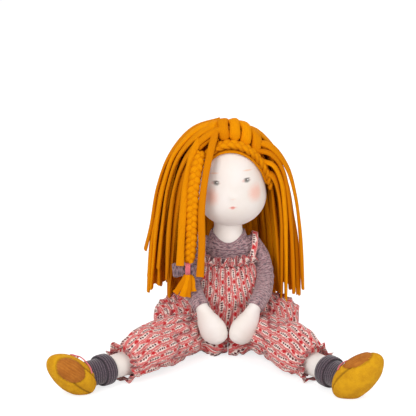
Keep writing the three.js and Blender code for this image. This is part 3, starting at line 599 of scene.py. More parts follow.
def printed_cotton(name, ground, cream, red, plum):
    """Light plain-weave cotton with a small print: broken cream pinstripes, spindles, beads and drops, with
    painted shade deep in gathers and folds.
    """
    made, add = new_material(name)
    uv = add("UVMap", uv_map="cloth")
    ripple = add("TexNoise", {"Vector": uv, "Scale": 1.8, "Detail": 2.0}, "Fac")
    x = add("Math", [ripple, 0.16, add("SeparateXYZ", [uv], "X")], operation="MULTIPLY_ADD")
    # Every second column is moved half a repeat along
    column = add("Math", [x, PRINT_COLUMN], operation="DIVIDE")
    which = add("Math", [column], operation="FLOOR")
    a = add("Math", [add("Math", [column, which], operation="SUBTRACT"), 0.5], operation="SUBTRACT")
    odd = add("Math", [add("Math", [which], operation="ABSOLUTE"), 2.0], operation="MODULO")
    odd = add("Math", [odd, 0.5], operation="MULTIPLY")
    row = add("Math", [add("SeparateXYZ", [uv], "Y"), PRINT_REPEAT], operation="DIVIDE")
    row = add("Math", [add("Math", [row, odd], operation="ADD"), 100.0], operation="ADD")
    b = add("Math", [add("Math", [row], operation="FRACT"), 0.5], operation="SUBTRACT")
    wide, tall = (add("Math", [value], operation="ABSOLUTE") for value in (a, b))

    def lozenge(at, half_wide, half_tall, edge):
        """Mask of a lozenge in the middle of each column, at a share of the repeat."""
        reach = add("Math", [add("Math", [tall, at], operation="SUBTRACT")], operation="ABSOLUTE")
        sideways = add("Math", [wide, half_wide], operation="DIVIDE")
        lengthways = add("Math", [reach, half_tall], operation="DIVIDE")
        far = add("Math", [sideways, lengthways], operation="ADD")
        return add("MapRange", [far, 1 + edge / 2, 1 - edge / 2], **EASED)

    # Cream pinstripes, broken where the cloth is worn
    stripes = {"Vector": uv, "Scale": 1.3, "Distortion": 3.0, "Detail": 2.0, "Detail Scale": 1.2}
    stripes = add("TexWave", stripes, "Fac", **LENGTHWAYS)
    breaks = add("TexNoise", {"Vector": uv, "Scale": 4.0, "Detail": 2.0}, "Fac")
    pins = [add("MapRange", [stripes, 0.6, 0.85], **EASED), add("MapRange", [breaks, 0.42, 0.56], **EASED)]
    # A chain of plum lozenges inside each spindle, seven to a repeat
    link = add("Math", [b, 7.0, 10.0], operation="MULTIPLY_ADD")
    link = add("Math", [add("Math", [link], operation="FRACT"), 0.5], operation="SUBTRACT")
    link = add("Math", [add("Math", [link], operation="ABSOLUTE"), 0.5], operation="DIVIDE")
    beads = add("Math", [add("Math", [wide, 0.19], operation="DIVIDE"), link], operation="ADD")
    chain = [add("MapRange", [beads, 1.1, 0.9], **EASED), add("MapRange", [tall, 0.31, 0.28], **EASED)]
    # Fine plum hairlines between the columns
    hair = [add("MapRange", [wide, 0.42, 0.46], **EASED), add("MapRange", [breaks, 0.5, 0.58], **EASED)]
    hair = add("Math", hair, operation="MULTIPLY")
    worn = add("TexNoise", {"Vector": uv, "Scale": 9.0, "Detail": 3.0}, "Fac")
    # Painted shade: cloth deep in a gather or fold is drawn darker and redder
    tone = add("Attribute", (), "Fac", attribute_name="tone")
    layers = [
        (add("Math", pins, operation="MULTIPLY"), cream),
        (lozenge(0.0, 0.34, 0.48, 0.3), cream),
        (add("Math", chain, operation="MULTIPLY"), plum),
        (add("Math", [hair, 0.7], operation="MULTIPLY"), plum),
        (lozenge(0.5, 0.25, 0.17, 0.2), red),
        (add("MapRange", [worn, 0.5, 0.75, 0.0, 0.2], **EASED), linear("#F0D8CC")),
        (add("MapRange", [tone, 0.5, 0.0, 0.0, 0.75], **EASED), linear("#7A2C34")),
    ]
    weave = add("TexNoise", {"Vector": uv, "Scale": 26.0, "Detail": 2.0}, "Fac")
    shader = {"Roughness": 0.88, "Sheen Weight": 0.15, "Sheen Roughness": 0.5, "IOR": 1.45}
    finish_cloth(add, ground, layers, weave, 0.3, 0.25, shader)
    return made


def ribbed_knit(name, colour, dark):
    """Fine stocking knit in dark yarn: soft ridges run round the leg 2.6 mm apart, with painted shade between
    them.
    """
    made, add = new_material(name)
    uv = add("UVMap", uv_map="cloth")
    ribs = add("TexWave", {"Vector": uv, "Scale": 1.2, "Distortion": 0.8, "Detail": 1.0}, "Fac", **ROUND)
    mottle = add("TexNoise", {"Vector": uv, "Scale": 14.0, "Detail": 4.0}, "Fac")
    layers = [
        (add("MapRange", [mottle, 0.35, 0.7], **EASED), colour),
        # Painted shade in the grooves between the ribs
        (add("MapRange", [ribs, 0.05, 0.8, 1.0, 0.0], **EASED), dark),
    ]
    shader = {"Roughness": 0.95, "Sheen Weight": 0.35, "Sheen Roughness": 0.5, "IOR": 1.45}
    finish_cloth(add, dark, layers, ribs, 0.6, 0.6, shader)
    return made


def suede(name, colour, dark, light, seam, grain_and_shade):
    """Napped suede: cloudy light and dark where the nap lies differently, very matt, with painted shade in
    its seams and furrows.
    """
    made, add = new_material(name)
    coord = add("TexCoord", (), "Object")
    # Nap clouds about 9 mm across; fibres are drawn at 0.7 mm, coarser than real ones, to show
    cloud = add("TexNoise", {"Vector": coord, "Scale": 110.0, "Detail": 4.0, "Roughness": 0.6}, "Fac")
    fibre = add("TexNoise", {"Vector": coord, "Scale": 1400.0, "Detail": 2.0}, "Fac")
    tone = add("Attribute", (), "Fac", attribute_name="tone")
    furrow = add("Math", [1.0, tone], operation="SUBTRACT")
    layers = [
        (add("MapRange", [cloud, 0.35, 0.68], **EASED), colour),
        (add("MapRange", [fibre, 0.52, 0.75, 0.0, 0.45], **EASED), light),
        # Painted shade where the tone is low: in seams, round the plug and along its furrows
        (add("Math", [furrow, grain_and_shade], operation="MULTIPLY"), seam),
    ]
    relief = add("Math", [fibre, cloud], operation="ADD")
    shader = {"Roughness": 0.95, "Specular IOR Level": 0.2, "IOR": 1.5}
    finish_cloth(add, dark, layers, relief, 0.5, 0.35, shader)
    return made


def soft_cord(name, colour, dark):
    """Thin round cotton cord with a twisted lay, and painted shade between its strands."""
    made, add = new_material(name)
    # Strands 0.9 mm wide that run round the cord at a slant
    lay = add("Mapping", {"Vector": add("UVMap", uv_map="cloth"), "Rotation": [0, 0, math.radians(38)]})
    twist = add("TexWave", {"Vector": lay, "Scale": 3.6, "Distortion": 0.4}, "Fac", **LENGTHWAYS)
    # The dark ground shows between the strands as painted shade
    layers = [(add("MapRange", [twist, 0.1, 0.7], **EASED), colour)]
    shader = {"Roughness": 0.8, "Sheen Weight": 0.2, "IOR": 1.45}
    finish_cloth(add, dark, layers, twist, 0.6, 0.4, shader)
    return made


# Maker, name, the setting with the main colour, then the other colours
FINISHES = {
    "face": (partial(skin_jersey, painted=True), "face_jersey", "skin"),
    "skin": (skin_jersey, "body_jersey", "skin"),
    # The strips' second colour is their painted shade, also the darker end of their chance tone
    "strip": (strip_jersey, "strip_jersey", "hair", "#C57000"),
    "knit": (marled_knit, "marled_knit", "sweater", "#64525A", "#A8636F"),
    # Painted shade: the bow, which hangs in shade, gets a darker copy of the sweater's knit
    "bow": (marled_knit, "dark_marled_knit", "bow", "#4A3D44", "#8A5059"),
    "print": (printed_cotton, "printed_cotton", "romper", "#E8D6CC", "#BE0D1A", "#561226"),
    # The socks' dark colour is their mottle's ground and the painted shade between their ribs
    "rib": (ribbed_knit, "ribbed_knit", "socks", "#30272F"),
    # The last colour of each suede is the painted shade in its seams, round its plug and along its furrows,
    # with the strength given after it
    "suede": (partial(suede, grain_and_shade=0.8), "mustard_suede", "shoes", "#C28811", "#DDAA28", "#6B4508"),
    "plug": (partial(suede, grain_and_shade=0.7), "brown_suede", "toes", "#AD6622", "#D08D45", "#8A4A16"),
    # The cord's second colour is the painted shade between its strands
    "cord": (soft_cord, "coral_cord", "laces", "#C9545F"),
}
# Materials already made, one for each finish
MATERIALS = {}


def material(finish):
    """Each finish is made once."""
    if finish not in MATERIALS:
        maker, name, setting, *others = FINISHES[finish]
        colour = (*getattr(bpy.context.scene.doll_colours, setting), 1.0)
        MATERIALS[finish] = maker(name, colour, *[linear(other) for other in others])
        MATERIALS[finish].diffuse_color = colour
    return MATERIALS[finish]


# Settings


def colour_setting(name, description, hex_colour):
    return bpy.props.FloatVectorProperty(
        name=name, description=description, subtype="COLOR", default=linear(hex_colour)[:3], min=0, max=1
    )


def length_setting(name, description, default, low, high):
    """A length given here in millimetres."""
    return bpy.props.FloatProperty(
        name=name, description=description, unit="LENGTH",
        default=default * MM, min=low * MM, max=high * MM,
    )


class DollColours(bpy.types.PropertyGroup):
    """Main colours of the doll and its clothes."""

    skin: colour_setting("Skin", "Colour of the stuffed jersey", "#EAE2DD")
    hair: colour_setting("Hair", "Colour of the hair strips", "#E38E00")
    sweater: colour_setting("Sweater", "Light yarn of the sweater", "#B59496")
    # Darker than the sweater's yarn: painted shade for the bow, which hangs in shade
    bow: colour_setting("Bow", "Light yarn of the bow", "#93787D")
    romper: colour_setting("Romper", "Ground of the print", "#D06362")
    socks: colour_setting("Socks", "Yarn of the socks", "#7A6570")
    shoes: colour_setting("Shoes", "Suede of the shoes", "#D39A14")
    toes: colour_setting("Toes", "Suede over the toes", "#C47A2C")
    laces: colour_setting("Laces", "Cord of the laces and the bow's binding", "#EE8087")


class DollFace(bpy.types.PropertyGroup):
    """How strongly the face is painted."""

    blush: bpy.props.FloatProperty(
        name="Blush", description="Strength of the sprayed cheeks", default=1.0, min=0, max=1.5,
        subtype="FACTOR",
    )


class DollHair(bpy.types.PropertyGroup):
    """Size and number of the hair strips."""

    strip_width: length_setting("Strip width", "Width of one rolled strip", 8.4, 4, 11)
    strip_thickness: length_setting("Strip thickness", "Thickness of one rolled strip", 4.2, 2, 7)
    fullness: bpy.props.IntProperty(
        name="Strips", description="Strips in the outer row on each side", default=14, min=8, max=18
    )
    seed: bpy.props.IntProperty(name="Seed", description="Where each strip strays", default=7, min=0)


class DollCloth(bpy.types.PropertyGroup):
    """Gathers and folds of the clothes."""

    gather_depth: length_setting("Gather depth", "Depth of the gathers at the elastic", 1.0, 0, 2)
    fold_depth: length_setting("Fold depth", "Depth of the soft folds on the legs", 3.0, 0, 5)


class DollStage(bpy.types.PropertyGroup):
    """Place of the camera."""

    distance: bpy.props.FloatProperty(
        name="Camera distance", description="From the middle of the picture", default=1.6, min=0.5, max=5,
        unit="LENGTH",
    )
    elevation: bpy.props.FloatProperty(
        name="Camera elevation", description="Angle above level", default=math.radians(16), min=0, max=1.5,
        subtype="ANGLE",
    )


# Stage, in metres

LOOK_AT = Vector((-0.023, 0.0, 0.1639))
LAMPS_LOOK_AT = Vector((0, 0, 0.12))
SENSOR = 36
PICTURE_PIXELS = 416
# Millimetres of the doll that one pixel shows, at its middle
PIXEL = 1.15
# Name, place, size and power
LAMPS = [
    ("key", (-0.9, -1.5, 1.5), 1.1, 24.0),
    ("fill", (1.3, -1.2, 0.8), 1.2, 9.0),
    ("rim", (0.2, 1.3, 1.3), 1.0, 9.0),
]


def add_camera(scene, distance, elevation):
    """Straight in front and a little above, as the photograph was taken."""
    way = Vector((0, math.cos(elevation), -math.sin(elevation)))
    data = bpy.data.cameras.new("camera")
    data.sensor_width = SENSOR
    data.lens = SENSOR * distance / (PICTURE_PIXELS * PIXEL * MM)
    data.clip_end = 20
    camera = add_object("camera", data)
    camera.location = LOOK_AT - way * distance
    camera.rotation_euler = way.to_track_quat("-Z", "Y").to_euler()
    scene.camera = camera


def add_floor():
    """White paper under the doll."""
    bm = bmesh.new()
    bmesh.ops.create_grid(bm, x_segments=1, y_segments=1, size=6)
    mesh = bpy.data.meshes.new("floor")
    bm.to_mesh(mesh)
    bm.free()
    add_object("floor", mesh)
    # Seen straight, the paper glows to white and keeps a soft shadow; the doll sees plain paper
    paper, add = new_material("white_paper")
    seen = add("LightPath", (), "Is Camera Ray")
    shades = {"Factor": seen, "A": (0.8, 0.8, 0.8, 1), "B": (0.4, 0.4, 0.4, 1)}
    glow = add("Math", [seen, 0.74], operation="MULTIPLY")
    surface = {
        "Roughness": 0.9,
        "Base Color": add("Mix", shades, "Result", **COLOURS),
        "Emission Color": (1, 1, 1, 1),
        "Emission Strength": glow,
    }
    add("OutputMaterial", {"Surface": add("BsdfPrincipled", surface)})
    mesh.materials.append(paper)


def add_world(scene):
    """Plain white light, brighter where the camera looks past the floor."""
    scene.world = bpy.data.worlds.new("studio")
    scene.world.use_nodes = True
    add = partial(node, scene.world.node_tree)
    scene.world.node_tree.nodes.clear()
    level = add("MapRange", [add("LightPath", (), "Is Camera Ray"), 0.0, 1.0, 0.62, 1.0], **EASED)
    add("OutputWorld", {"Surface": add("Background", {"Color": (1, 1, 1, 1), "Strength": level})})


class DOLL_OT_stage(bpy.types.Operator):
    """Camera at the photograph's place, pale floor and soft light"""

    bl_idname = "doll.stage"
    bl_label = "Stage"
    bl_options = {"REGISTER", "UNDO"}

    def execute(self, context):
        scene = context.scene
        add_camera(scene, scene.doll_stage.distance, scene.doll_stage.elevation)
        scene.view_settings.view_transform = "Standard"
        add_floor()
        add_world(scene)
        for name, where, size, power in LAMPS:
            light = bpy.data.lights.new(name, "AREA")
            light.size = size
            light.energy = power
            lamp = add_object(name, light)
            lamp.location = where
            lamp.rotation_euler = (LAMPS_LOOK_AT - Vector(where)).to_track_quat("-Z", "Y").to_euler()
        return {"FINISHED"}


# Head and body

# Where the nose stands on the head, how far out and how wide
NOSE = {"at": (0, -HEAD["r"] + 0.5, 8), "out": 2.0, "wide": 3.4}
EYE_HOLLOW = {"deep": 0.9, "wide": 7.5}
# Height from the neck's pivot, radius
NECK_RINGS = [
    (-16.3, 2), (-14.5, 8.3), (-11, 12.6), (-7, 16), (-3, 18), (0, 18.4), (3, 18.2), (6, 17.4),
    (9, 16.6), (13, 16.1), (19, 16.4), (24, 16.8),
]
# Height, half width or half depth of the stuffed body
TORSO_WIDE = [(6, 23.8), (26, 34), (60, 30), (100, 30), (120, 27.9), (134, 19.3)]
TORSO_DEEP = [(6, 14), (26, 20), (100, 19), (120, 16.3), (134, 15.8)]
BODY_HEIGHTS = [6, 8, 12, 18, 26, 36, 48, 60, 72, 84, 96, 106, 114, 120, 125, 129, 131]


def head_shape(bm, grow, around=64, down=48):
    """The head's egg, a given distance outside the skin, in the leaning head's place."""
    made = bmesh.ops.create_uvsphere(bm, u_segments=around, v_segments=down, radius=1)["verts"]
    place_it = head_matrix()
    wide = HEAD["r"] + grow
    for v in made:
        tall = HEAD["above"] if v.co.z > 0 else HEAD["below"]
        v.co = place_it @ V(v.co.x * wide, v.co.y * wide, v.co.z * (tall + grow))
    return made


class DOLL_OT_head(bpy.types.Operator):
    """Stuffed head with its painted face, and the neck"""

    bl_idname = "doll.head"
    bl_label = "Head and neck"
    bl_options = {"REGISTER", "UNDO"}

    def execute(self, context):
        bm = new_bmesh()
        made = head_shape(bm, 0, 96, 72)
        inverse = head_matrix().inverted()
        nose = V(*NOSE["at"])
        for v in made:
            p = inverse @ v.co
            push = NOSE["out"] * math.exp(-(((p - nose).length / NOSE["wide"]) ** 2))
            hollow = 0.0
            for x in EYES_X.values():
                d = math.hypot(p.x - x, p.z - EYES_Z)
                hollow += EYE_HOLLOW["deep"] * math.exp(-((d / EYE_HOLLOW["wide"]) ** 2)) if p.y < 0 else 0.0
            out = V(p.x, p.y, p.z * 0.3).normalized()
            v.co = head_matrix() @ (p + out * (push - hollow))
        place(to_mesh(bm), "head_skin", "face", "head", "head")

        bm = new_bmesh()
        radii = [radius for _, radius in NECK_RINGS]
        line = [V(NECK.x, NECK.y, NECK.z + height) for height, _ in NECK_RINGS]
        sweep(bm, line, FRONT, radii, radii, sides=48)
        place(to_mesh(bm), "neck_skin", "skin", "neck", "head")
        return {"FINISHED"}


def torso_rings(bm, grow, heights, close=True):
    """The body's loft of ovals, a given distance outside the stuffing."""
    line = [V(0, TRUNK_Y, z) for z in heights]
    wide, deep = ([between(stations, z) + grow for z in heights] for stations in (TORSO_WIDE, TORSO_DEEP))
    return sweep(bm, line, FRONT, wide, deep, sides=64, close=close)


class DOLL_OT_body(bpy.types.Operator):
    """Stuffed body under the clothes"""

    bl_idname = "doll.body"
    bl_label = "Body"
    bl_options = {"REGISTER", "UNDO"}

    def execute(self, context):
        bm = new_bmesh()
        torso_rings(bm, -0.6, BODY_HEIGHTS)
        place(to_mesh(bm), "body_skin", "skin", "body", "torso")
        return {"FINISHED"}


# Sweater

SWEATER_WALL = 1.9
SWEATER_HEIGHTS = [62, 70, 78, 86, 94, 100, 105, 110, 114, 117]
# Share of the way to the neckline, step inwards, rise: the edge turns in and down
NECKLINE_STEPS = [
    (0.2, 0, 0), (0.4, 0, 0), (0.6, 0, 0), (0.8, 0, 0), (0.93, 0, 0), (1, 0.1, 0),
    (1, 0.8, 0.7), (1, 1.6, 0.6), (1, 2.1, -0.4), (1, 2.2, -3),
]
# Lowest height of the neckline and how far it rises to the shoulders
NECKLINE = {"front": (129.2, 9.8), "back": (135.5, 3.5)}
SLEEVE_DOME = (0.12, 0.45, 0.8, 1.15)
SLEEVE_RADIUS = [(0, BALL), (0.04, 10.7), (0.12, 9.9), (0.4, 10.4), (0.6, 9.8), (CUFF_AT, 9.9)]
# Steps past the sleeve's end and radii there: the cuff turns in
CUFF_TURN = [(0.7, 9.8), (0.9, 9.0), (0.3, 8.0), (-3, 7.8)]
ELBOW = {"at": 52, "reach": 14}


def sweater_trunk():
    """The knit round the body, up to a neckline that turns in."""
    bm = new_bmesh()
    top_ring = set(torso_rings(bm, SWEATER_WALL, SWEATER_HEIGHTS, close=False)[-1])
    edges = list({e for v in top_ring for e in v.link_edges if e.other_vert(v) in top_ring})
    turn, along, _ = layers_of(bm)
    wide, deep = TORSO_WIDE + [(141, 17.3)], TORSO_DEEP + [(141, 15.6)]
    for share, inward, rise in NECKLINE_STEPS:
        made, edges = next_ring(bm, edges)
        for v in made:
            angle = 2 * math.pi * v[turn]
            c, s = math.cos(angle), math.sin(angle)
            low, climb = NECKLINE["front" if s > 0 else "back"]
            z = lerp(SWEATER_HEIGHTS[-1], low + climb * abs(c) ** 1.6, share)
            w, d = (between(stations, z) + SWEATER_WALL - inward for stations in (wide, deep))
            v.co = V(-w * c, TRUNK_Y - d * s, z + rise)
            v[along] += 2.5
    mesh = to_mesh(bm)
    co = read_points(mesh)
    push_out(mesh, 0.5 * rumple(co, 16, 3.0) * np.clip((132 - co[:, 2]) / 12, 0, 1))
    place(mesh, "sweater_knit", "knit", "sweater", "torso", girth=165)


def sleeve(tag, side):
    """A closed sleeve over the arm's line: domed at the shoulder, creased at the elbow."""
    bm = new_bmesh()
    keep = arm_line(side, 121)[: int(120 * CUFF_AT) + 1]
    first = (keep[1] - keep[0]).normalized()
    shown = keep[::2]
    way = (shown[-1] - shown[-2]).normalized()
    line = [keep[0] - first * BALL * math.cos(a) for a in SLEEVE_DOME] + shown
    line += [shown[-1] + way * step for step, _ in CUFF_TURN]
    radii = [BALL * math.sin(a) for a in SLEEVE_DOME]
    radii += [between(SLEEVE_RADIUS, CUFF_AT * i / (len(shown) - 1)) for i in range(len(shown))]
    radii += [radius for _, radius in CUFF_TURN]
    sweep(bm, line, (0, -1, 0.3), radii, radii, sides=36)
    mesh = to_mesh(bm)
    co, run = read_points(mesh), read_points(mesh, "along")
    elbow = np.exp(-(((run - ELBOW["at"]) / ELBOW["reach"]) ** 2))
    ridges = np.sin(run * 0.9 + 2.2 * rumple(co, 18, 5.0)) * elbow
    push_out(mesh, 0.55 * ridges + 0.5 * rumple(co, 14, 8.0 + side))
    place(mesh, f"sleeve_knit_{tag}", "knit", f"sleeve_{tag}", f"arm_{tag}", girth=64)


class DOLL_OT_sweater(bpy.types.Operator):
    """Marled knit sweater with its sleeves"""

    bl_idname = "doll.sweater"
    bl_label = "Sweater"
    bl_options = {"REGISTER", "UNDO"}

    def execute(self, context):
        sweater_trunk()
        for tag, side in SIDES.items():
            sleeve(tag, side)
        return {"FINISHED"}


# Arms and legs

# Share of the arm's line, and the share of full width there: round at both ends
ARM_ENDS = [(0, 0.15), (0.02, 0.6), (0.05, 1), (0.93, 1), (0.965, 0.84), (0.985, 0.6), (1, 0.12)]
# Half width and half depth: a mitten hand, flat and deep
ARM_WIDE = [(0.02, 7.0), (CUFF_AT, 7.2), (0.85, 11.3), (0.96, 9.8)]
ARM_DEEP = [(0.02, 7.0), (CUFF_AT, 7.6), (0.72, 10.2), (0.79, 14.2), (0.87, 16.4), (0.96, 14.6)]
# Half the gap between the hands
HAND_GAP = 0.15


class DOLL_OT_arms(bpy.types.Operator):
    """Stuffed arms with mitten hands"""

    bl_idname = "doll.arms"
    bl_label = "Arms"
    bl_options = {"REGISTER", "UNDO"}

    def execute(self, context):
        wide, deep = (
            lambda u, stations=stations: between(stations, u) * between(ARM_ENDS, u)
            for stations in (ARM_WIDE, ARM_DEEP)
        )
        for tag, side in SIDES.items():
            bm = new_bmesh()
            # Depth faces up and forward, as in the solid
            out = lambda u, c, t: V(*UP).cross(t).cross(t)
            sweep(bm, arm_line(side, 90), out, wide, deep, sides=40, square=2.1)
            for v in bm.verts:
                v.co.x = side * max(side * v.co.x, HAND_GAP)
            obj = place(to_mesh(bm), f"arm_skin_{tag}", "skin", f"arm_{tag}", f"arm_{tag}")
        return {"FINISHED"}


def foot_shape(bm, side, grow, around=48, down=32):
    """The foot's egg, a given distance outside the stuffing."""
    forward, top, inward, centre = foot_frame(side)
    turn, along, _ = layers_of(bm)
    made = bmesh.ops.create_uvsphere(bm, u_segments=around, v_segments=down, radius=1)["verts"]
    for v in made:
        # The sphere's poles lie at toe and heel
        x, z, y = v.co.x, v.co.y, v.co.z
        taper = 1 - 0.12 * y
        v[turn] = (math.atan2(z, x) / (2 * math.pi)) % 1
        v[along] = y * FOOT["half"]
        v.co = (
            centre
            + forward * (y * (FOOT["half"] + grow))
            + inward * (x * (FOOT["width"] + grow) * taper)
            + top * (z * (FOOT["height"] + grow) * taper)
        )


class DOLL_OT_legs(bpy.types.Operator):
    """Stuffed legs, mostly inside romper, socks and shoes"""

    bl_idname = "doll.legs"
    bl_label = "Legs"
    bl_options = {"REGISTER", "UNDO"}

    def execute(self, context):
        start, end = LEG["start"], LEG["length"]
        radius = lambda u: lerp(LEG["thigh"], LEG["ankle"], lerp(start, end, u) / end)
        for tag, side in SIDES.items():
            bm = new_bmesh()
            sweep(bm, leg_points(side, np.linspace(start, end, 34)), UP, radius, radius, sides=36)
            foot_shape(bm, side, -0.3, 24, 16)
            obj = place(to_mesh(bm), f"leg_skin_{tag}", "skin", f"leg_{tag}", f"leg_{tag}", floor=4.4)
        return {"FINISHED"}


# Socks and shoes

SOCK_RADIUS = 14.1
# How much wider the sock is at its top
SOCK_SLACK = 0.3
# Rolled cuff: step along the leg from the sock's top, radius
SOCK_ROLL = [
    (-0.8, 13.2), (-1.5, 14.6), (-1.3, 16.2), (0.2, 17.2), (2.4, 17.5), (4.6, 17.4),
    (6.8, 17.5), (9.0, 17.2), (10.4, 16.2), (10.6, 14.8), (9.8, 14.2),
]


class DOLL_OT_socks(bpy.types.Operator):
    """Dark ribbed socks with a rolled cuff"""

    bl_idname = "doll.socks"
    bl_label = "Socks"
    bl_options = {"REGISTER", "UNDO"}

    def execute(self, context):
        radius = lambda u: SOCK_RADIUS + SOCK_SLACK * (1 - u)
        for tag, side in SIDES.items():
            bm = new_bmesh()
            line = leg_points(side, np.linspace(SOCK_TOP, LEG["length"] + 1, 22))
            sweep(bm, line, UP, radius, radius, sides=48, start=SOCK_TOP)
            foot_shape(bm, side, 1.6, 32, 20)
            name = f"sock_knit_{tag}"
            place(to_mesh(bm), name, "rib", f"sock_{tag}", f"leg_{tag}", girth=90, floor=3.0)

            bm = new_bmesh()
            line = leg_points(side, [SOCK_TOP + step for step, _ in SOCK_ROLL])
            radii = [radius for _, radius in SOCK_ROLL]
            way, _ = leg_way(side)
            for ring, centre in zip(sweep(bm, line, UP, radii, radii, sides=64, close=False), line):
                for v in ring:
                    flat = v.co - centre
                    v.co = centre + flat - way * flat.dot(way)
            place(to_mesh(bm), f"sock_roll_{tag}", "rib", f"sock_cuff_{tag}", f"leg_{tag}", girth=104)
        return {"FINISHED"}


# Half length, height and width of the plug's oval seam, and its middle above and ahead of the foot's
PLUG_OVAL = (19, 26, 15)
PLUG_MIDDLE = {"up": 28, "ahead": 15}
# Shares of the oval at which the suede begins and the plug ends, one under the other
SUEDE_FROM = 0.94
PLUG_TO = 1.02
SHOE_OPENING = {"back": 10, "up": 30, "radius": 15.5}
# Distance outside the foot, wall, and names
SHOE = {"grow": 4.3, "wall": 2.2, "name": "shoe_suede", "node": "shoe"}
PLUG = {"grow": 4.8, "wall": 1.4, "name": "shoe_plug_suede", "node": "shoe_plug"}


def shoe_part(side, tag, finish, sizes):
    """The shoe's shell outside the plug's oval seam, or the plug inside it."""
    forward, top, inward, centre = foot_frame(side)
    tilt = math.radians(LEG_PLACE[side]["plug"])
    up = top * math.cos(tilt) + inward * math.sin(tilt)
    axes = np.array([forward, up, forward.cross(up)])
    seam_middle = np.array(centre + up * PLUG_MIDDLE["up"] + forward * PLUG_MIDDLE["ahead"])
    plug = finish == "plug"

    def from_seam(points):
        """1 on the plug's oval seam, less inside it"""
        return np.linalg.norm((points - seam_middle) @ axes.T / PLUG_OVAL, axis=1)

    bm = new_bmesh()
    foot_shape(bm, side, sizes["grow"], 96, 84)
    opening = centre - forward * SHOE_OPENING["back"] + top * SHOE_OPENING["up"]
    inside = [v for v in bm.verts if (v.co - opening).length < SHOE_OPENING["radius"]]
    bmesh.ops.delete(bm, geom=inside, context="VERTS")
    middles = from_seam(np.array([f.calc_center_median() for f in bm.faces]))
    beyond = [f for f, d in zip(bm.faces, middles) if (d > PLUG_TO if plug else d < SUEDE_FROM)]
    bmesh.ops.delete(bm, geom=beyond, context="FACES")
    mesh = to_mesh(bm)
    co, no = read_points(mesh), read_points(mesh, "normal")
    if np.sum(no * (co - np.array(centre))) < 0:
        mesh.flip_normals()
        no = -no
    local = (co - np.array(centre)) @ axes.T
    edge = from_seam(co)
    lift = 0.45 * rumple(co, 13, 2.0 + side)
    if plug:
        # Fine furrows along the stretched plug, with painted shade that follows them, and an edge that dives
        # into the seam
        furrow = np.sin(local[:, 2] * 2.3 + 1.8 * rumple(co, 8, 4.0)) * np.clip(1.2 - edge, 0, 1)
        lift += 0.3 * furrow + 0.7 - 1.6 * np.clip((edge - 0.75) / 0.25, 0, 1) ** 2
        write_tone(mesh, 0.5 - 0.5 * furrow)
    else:
        # Two seams behind the plug that pucker the suede, and gathers round the plug; painted shade lies in
        # the seams and round the plug's rim
        rim = np.exp(-(((edge - PLUG_TO) / 0.05) ** 2))
        azimuth = np.degrees(np.arctan2(local[:, 2], local[:, 1]))
        off = np.abs(azimuth) - 30
        behind = np.clip((7 - local[:, 0]) / 4, 0, 1)
        seam = np.exp(-((off / 3.2) ** 2)) * behind
        pucker = np.sin(local[:, 0] * 1.5) * np.exp(-((off / 16) ** 2)) * behind
        gathers = np.sin(azimuth * 0.75) * np.exp(-np.clip(edge - 1, 0, None) / 0.2)
        lift += -0.9 * seam + 0.2 * pucker - 0.5 * rim + 0.2 * gathers
        write_tone(mesh, 1 - seam * 0.9 - rim * 0.5)
    co += no * lift[:, None]
    co[:, 2] = np.maximum(co[:, 2], 0.15)
    write_points(mesh, co)
    mesh = evaluated(mesh, ("SOLIDIFY", {"thickness": sizes["wall"], "offset": -1.0}))
    place(mesh, f"{sizes['name']}_{tag}", finish, f"{sizes['node']}_{tag}", f"leg_{tag}")


class DOLL_OT_shoes(bpy.types.Operator):
    """Suede slippers with a napped brown plug over the toes"""

    bl_idname = "doll.shoes"
    bl_label = "Shoes"
    bl_options = {"REGISTER", "UNDO"}

    def execute(self, context):
        for tag, side in SIDES.items():
            shoe_part(side, tag, "suede", SHOE)
            shoe_part(side, tag, "plug", PLUG)
        return {"FINISHED"}


# The lace's route over the foot: mm ahead of its middle, degrees round it, lift
LACE_PLACES = [
    (4, 12, 0), (3, 30, 0), (2, 52, 0), (1, 72, 0), (1, 90, 0.3), (5, 104, 0.3), (10, 100, 0.2),
    (10, 86, 0.2), (5, 80, 0.8), (1, 88, 2.2), (0, 104, 1.2), (-2, 122, 0.2), (-7, 142, 0), (-10, 160, 0),
]
LACE_RADIUS = 0.7
# Two clearances, the sock's and the shoe's walls and the lace's own lift outside the stuffed foot
LACE_HEIGHT = 0.6 + 1.5 + 2.2 + 1.5


class DOLL_OT_laces(bpy.types.Operator):
    """Thin coral laces across the instep"""

    bl_idname = "doll.laces"
    bl_label = "Laces"
    bl_options = {"REGISTER", "UNDO"}

    def execute(self, context):
        for tag, side in SIDES.items():
            forward, top, inward, centre = foot_frame(side)
            points = []
            for ahead, around, lift in LACE_PLACES:
                round_off = math.sqrt(1 - (ahead / (FOOT["half"] + LACE_HEIGHT)) ** 2)
                taper = round_off * (1 - 0.24 * ahead / 58)
                a = math.radians(around)
                points.append(
                    centre + forward * ahead
                    + inward * ((FOOT["width"] + LACE_HEIGHT + lift) * taper * math.cos(a))
                    + top * ((FOOT["height"] + LACE_HEIGHT + lift) * taper * math.sin(a))
                )
            line = smooth_line(points, 64)
            bm = new_bmesh()
            sweep(bm, line, lambda u, c, t: c - centre, LACE_RADIUS, LACE_RADIUS, sides=10)
            obj = place(to_mesh(bm), f"lace_cord_{tag}", "cord", f"lace_{tag}", f"leg_{tag}", girth=4.4)
        return {"FINISHED"}


# Romper

# Width of the roll of the seat to each side, its radius, and how square its ends are
SEAT = {"half": 86.5, "radius": 31.0, "square": 3.2}
BIB_HEIGHTS = (30, 103.5)
BIB_WIDE = [(30, 52), (62, 47), (103, 35)]
BIB_DEEP = [(30, 27), (62, 30), (103, 27)]
# Half height and half width of a trouser leg at stations along the leg
TROUSER_START = -6
TROUSER_TALL = [(12, 23), (65, 26.5), (98, 26.2), (113, 23.4), (126, 17.8)]
TROUSER_WIDE = [(12, 26), (65, 27.5), (98, 27.2), (113, 24.4), (126, 17.8)]
